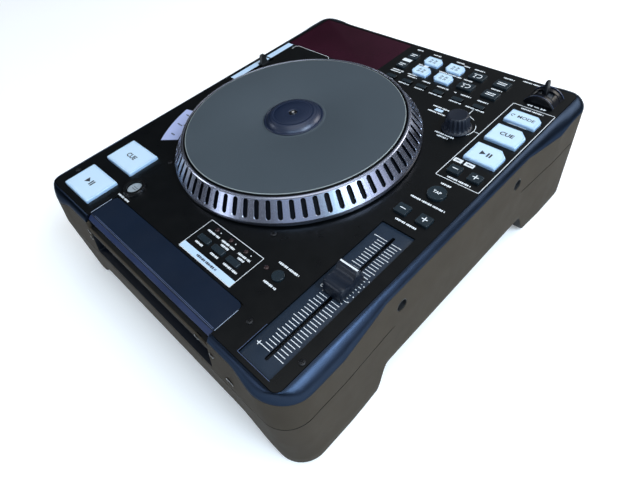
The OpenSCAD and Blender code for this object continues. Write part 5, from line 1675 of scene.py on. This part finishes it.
def make_bay_fittings():
    """The dark lugs at the ends of the disc bay and the oval fitting beside it."""
    shape = Shape()
    for x, z, r in ((SLOT_X - 77.5, SLOT_Z + 8.5, 2.0), (SLOT_X - 77.5, SLOT_Z + 2.5, 1.9),
                    (SLOT_X + 64, LIP_Z - 2.2, 2.3), (SLOT_X + 77.5, SLOT_Z + 5.5, 2.3)):
        wall = front_wall(z)
        shape.lathe_y([(r, wall - 0.1), (r - 0.3, wall - 0.35), (r - 0.9, wall - 0.3),
                       (r - 1.0, wall + 0.2), (0, wall + 0.25), (0, wall + 2.0), (r, wall + 2.0)], 20, x, z)
    wall = front_wall(SLOT_Z - 5)
    shape.lathe_y([(3.4, wall - 0.15), (3.0, wall - 0.35), (2.4, wall - 0.3), (2.2, wall + 0.6),
                   (0, wall + 0.7), (0, wall + 2.5), (3.4, wall + 2.5)], 28, SLOT_X + 93, SLOT_Z - 5)
    return shape


SOCKET_MID = (SOCKET_LOW[2] + SOCKET_HIGH[2]) / 2
SOCKET_FACE = SOCKET_HIGH[1] - 9.0
JACKS = [SOCKET_HIGH[0] - 73 - 16 * k for k in range(4)]
SMALL_JACKS = [SOCKET_HIGH[0] - 135 - 12 * k for k in range(2)]


def make_jack_trims():
    """The metal collars of the sockets and the coloured rings at the mouths of the large ones."""
    shape = Shape()
    for k, x in enumerate(JACKS):
        shape.lathe_y([(4.2, SOCKET_FACE - 0.1), (5.4, SOCKET_FACE - 0.1), (5.4, SOCKET_FACE + 0.9),
                       (5.1, SOCKET_FACE + 1.2), (4.2, SOCKET_FACE + 1.2)], 28, x, SOCKET_MID, 0, True)
        mouth = SOCKET_HIGH[1]
        shape.lathe_y([(1.85, mouth - 0.2), (3.5, mouth - 0.2), (3.5, mouth + 0.06), (3.3, mouth + 0.12),
                       (2.1, mouth + 0.12), (1.85, mouth)], 28, x, SOCKET_MID, 1 + k % 2, True)
    for x in SMALL_JACKS:
        shape.lathe_y([(1.9, SOCKET_FACE + 2.9), (3.3, SOCKET_FACE + 2.9), (3.3, SOCKET_FACE + 3.2),
                       (3.0, SOCKET_FACE + 3.4), (2.1, SOCKET_FACE + 3.4), (1.9, SOCKET_FACE + 3.2)], 28, x,
                       SOCKET_MID, 0, True)
    return shape


def make_lip_gap():
    """The channel behind the case's front lip, lined black as painted shade, and the sloped visor over the
    disc bay, painted mid-dark as shade.
    """
    shape = Shape()
    x0, x1 = SLOT_X - BAY_W / 2 - 0.6, SLOT_X + BAY_W / 2 + 0.6
    high, low = front_wall(LIP_LOW), front_wall(VISOR_LOW)
    visor = [(high - 0.08, LIP_LOW), (low + 0.9, VISOR_LOW + 0.3), (low + 1.2, VISOR_LOW),
             (low + 2.6, VISOR_LOW), (high + 1.6, LIP_LOW)]
    shape.loft([[(x, y + pull, z) for y, z in visor] for x,
                pull in ((x0, 0.9), (x0 + 0.9, 0), (x1 - 0.9, 0), (x1, 0.9))])
    x0, x1 = COVER_X0 + GAP_END, COVER_X1 - GAP_END
    front, back, floor = front_wall(LIP_Z) + LIP_T, COVER_FRONT + 0.4, CHANNEL_LOW
    trough = [(front - 0.1, LIP_Z - 0.1), (front + 0.15, LIP_Z - 0.1), (front + 0.15, floor + 0.25),
              (back, floor + 0.25), (back, CASE_TOP - 0.1), (back + 0.3, CASE_TOP - 0.1),
              (back + 0.3, floor - 0.1), (front - 0.1, floor - 0.1)]
    shape.loft([[(x, y, z) for y, z in trough] for x in (x0 - 0.05, x0 + 0.4, x1 - 0.4, x1 + 0.05)], 1)
    for x in (x0 - 0.2, x1 + 0.2):
        shape.prism(rectangle(0.36, back - front + 0.6, 0.1, 1, x, (front + back) / 2),
                    [(0, floor - 0.1), (0, CASE_TOP - 0.1)], 1)
    return shape


def make_edge_lines():
    """Painted highlights and painted shade: two light lines and two dark lines along the cover's bevel, for
    its beads lit and its grooves in shade, and light lines along the rims of the sunk plate as painted
    highlights.
    """
    s = Shape()
    z = COVER_HIGH[2] + 0.005
    for y, slot in ((BEVEL_Y - 0.05, 1), (BEVEL_Y + 0.3, 0), (BEVEL_Y + 0.7, 1), (BEVEL_Y + 1.1, 0)):
        s.stroke([(COVER_X0 + 5.5, y), (COVER_X1 - 1.5, y)], 0.3, z, slot)
    s.stroke([(PAN_X0 - 0.3, PAN_Y0 - 0.3), (PAN_X0 - 0.3, PAN_Y0 + 22)], 0.3)
    s.stroke([(PAN_X0 - 0.3, PAN_Y0 - 0.3), (PAN_X1 + 0.3, PAN_Y0 - 0.3)], 0.25)
    return s


def make_painted_gap_highlights():
    """Painted highlights: light strokes on the panel beside the two ends of the cover strip, standing in
    for its lit edges.
    """
    s = Shape()
    for x, width in ((COVER_X0 - 0.3, 0.6), (COVER_X1 + 0.25, 0.35)):
        s.stroke([(x, BEVEL_Y + 0.5), (x, COVER_REAR - 4.5)], width)
    return s


def build_prints():
    piece("painted_gap_highlights", make_painted_gap_highlights(), [GAP_PAINTED_HIGHLIGHT], "base")
    piece("edge_lines", make_edge_lines(), [EDGE_PAINTED_HIGHLIGHT, PAINTED_SHADE_BLACK], "base")
    piece("white_print", make_white_print(), [WHITE_INK], "base")
    piece("blue_print", make_blue_print(), [BLUE_INK], "base")
    piece("legend_patch", make_legend(), [LILAC_INK], "base")
    piece("dark_print", make_dark_print(), [DARK_INK], "base")
    piece("scale_signs", make_scale_signs(), [WHITE_INK], "base")
    for name, x0, x1 in (("left", 108.4, 114.6), ("right", 118.2, 124.4)):
        repeated("ticks_" + name, tick(x0, x1), TICKS, WHITE_INK, "base",
                 start=(0, TICK_Y, TICK_Z), step=(0, TICK_STEP, 0))
    for name, x0, x1 in (("left", 107.2, 108.5), ("right", 124.3, 125.6)):
        repeated("long_ticks_" + name, tick(x0, x1, 0.45), 9, WHITE_INK, "base",
                 start=(0, TICK_Y, TICK_Z), step=(0, 5 * TICK_STEP, 0))


def dress_carried_nodes():
    """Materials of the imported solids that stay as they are."""
    paints = {
        "top_panel": PANEL_BLACK, "display_module": BLACK_PLASTIC, "platter_rotor": DARK_METAL,
        "motor_stator": COPPER, "fader_unit": STEEL, "slide_lever": BLACK_PLASTIC,
        "main_board": CIRCUIT, "key_board": CIRCUIT, "power_supply": SUPPLY, "loader_chassis": STEEL,
        "loader_roller": RUBBER, "disc_turntable": BLACK_PLASTIC, "pickup_sled": BLACK_PLASTIC,
        "rear_sockets": BLACK_PLASTIC, "power_switch": BLACK_GLOSS, "rubber_feet": RUBBER
    }
    for name, paint in paints.items():
        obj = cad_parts[name]
        obj.data.materials.clear()
        obj.data.materials.append(paint)


build_case()
build_platter()
build_controls()
build_prints()
dress_carried_nodes()

# ------------------------------------------------------------------ stage


def look_matrix(place, right, up):
    side = Vector(right).normalized()
    rise = Vector(up)
    rise = (rise - side * rise.dot(side)).normalized()
    back = side.cross(rise)
    m = Matrix((side, rise, back)).transposed().to_4x4()
    m.translation = Vector(place) * MM
    return m


def make_camera():
    data = bpy.data.cameras.new("camera")
    data.sensor_width = 36.0
    data.lens = 26.94
    data.clip_start = 0.01
    data.clip_end = 50.0
    obj = bpy.data.objects.new("camera", data)
    bpy.context.scene.collection.objects.link(obj)
    obj.matrix_world = look_matrix((243.82, -198.42, 326.03), (0.7098, 0.6935, -0.1231),
                                   (-0.4673, 0.5944, 0.6544))
    bpy.context.scene.camera = obj


def area_light(name, place, target, size, power, colour=(1, 1, 1)):
    data = bpy.data.lights.new(name, "AREA")
    data.shape = "RECTANGLE"
    data.size, data.size_y = size
    data.energy = power
    data.color = colour
    obj = bpy.data.objects.new(name, data)
    bpy.context.scene.collection.objects.link(obj)
    obj.location = place
    obj.rotation_euler = (Vector(target) - Vector(place)).to_track_quat("-Z", "Y").to_euler()


def make_world():
    world = bpy.data.worlds.new("studio")
    bpy.context.scene.world = world
    world.use_nodes = True
    tree = world.node_tree
    soft = tree.nodes["Background"]
    soft.inputs["Color"].default_value = (0.9, 0.95, 1.0, 1)
    height = tree.nodes.new("ShaderNodeSeparateXYZ")
    tree.links.new(tree.nodes.new("ShaderNodeTexCoord").outputs["Generated"], height.inputs[0])
    fade = tree.nodes.new("ShaderNodeMath")
    fade.operation = "MULTIPLY"
    tree.links.new(spread(tree, height.outputs["Z"], 0.06, 0.42, 0.1, 0.8), fade.inputs[0])
    tree.links.new(spread(tree, height.outputs["X"], 0.08, 1.0, -0.85, -0.25), fade.inputs[1])
    tree.links.new(fade.outputs[0], soft.inputs["Strength"])


def make_floor():
    m, tree, bsdf = shader("floor")
    bsdf.inputs["Base Color"].default_value = (0.95, 0.95, 0.95, 1)
    bsdf.inputs["Roughness"].default_value = 0.9
    bsdf.inputs["Specular IOR Level"].default_value = 0.0
    bsdf.inputs["Emission Color"].default_value = (1, 1, 1, 1)
    path, lift = tree.nodes.new("ShaderNodeLightPath"), tree.nodes.new("ShaderNodeMath")
    seen, shown = tree.nodes.new("ShaderNodeMath"), tree.nodes.new("ShaderNodeMath")
    seen.operation = shown.operation = "MAXIMUM"
    lift.operation = "MULTIPLY"
    lift.inputs[1].default_value = 0.2
    tree.links.new(path.outputs["Is Camera Ray"], seen.inputs[0])
    tree.links.new(path.outputs["Is Glossy Ray"], seen.inputs[1])
    tree.links.new(seen.outputs[0], shown.inputs[0])
    tree.links.new(path.outputs["Is Transmission Ray"], shown.inputs[1])
    tree.links.new(shown.outputs[0], lift.inputs[0])
    tree.links.new(lift.outputs[0], bsdf.inputs["Emission Strength"])
    mesh = bpy.data.meshes.new("floor")
    r = 6.0
    mesh.from_pydata([(-r, -r, 0), (r, -r, 0), (r, r, 0), (-r, r, 0)], [], [(0, 1, 2, 3)])
    mesh.materials.append(m)
    obj = link_mesh("floor", mesh)


make_camera()
make_world()
make_floor()
area_light("key", (0.1, 0.1, 2.7), (0, 0, 0.06), (1.9, 1.9), 12, (1.0, 0.985, 0.96))
area_light("right_window", (1.7, 0.25, 0.72), (0, 0, 0.09), (1.5, 0.7), 3.2, (0.8, 0.82, 1.0))
area_light("front_window", (1.63, -0.46, 0.93), (0, 0, 0.1), (0.36, 0.4), 1.0, (0.56, 0.92, 1.0))
area_light("front_fill", (1.1, -1.2, 1.05), (0, 0, 0.1), (1.1, 0.6), 1.0, (0.6, 0.72, 1.0))
area_light("high_window", (0.78, -1.0, 1.5), (0, 0, 0.1), (0.85, 0.42), 6.5, (0.6, 0.82, 1.0))
area_light("corner_window", (1.08, 0.42, 1.42), (0, 0, 0.1), (0.4, 0.45), 8, (0.66, 0.82, 1.0))
area_light("side_window", (1.37, 0.05, 1.25), (0, 0, 0.1), (0.42, 0.9), 17, (0.74, 0.88, 1.0))
area_light("far_window", (-1.3, -0.6, 1.1), (0, 0, 0.1), (0.35, 0.35), 2.2, (0.9, 0.95, 1.0))
area_light("left_window", (-0.62, -1.6, 0.62), (0, 0, 0.1), (0.4, 0.7), 2.6, (0.8, 0.87, 1.0))
area_light("rear_window", (0.55, 1.4, 1.0), (0, 0, 0.08), (0.8, 0.6), 9, (1.0, 0.94, 0.86))

scene = bpy.context.scene
scene.view_settings.view_transform = "Standard"
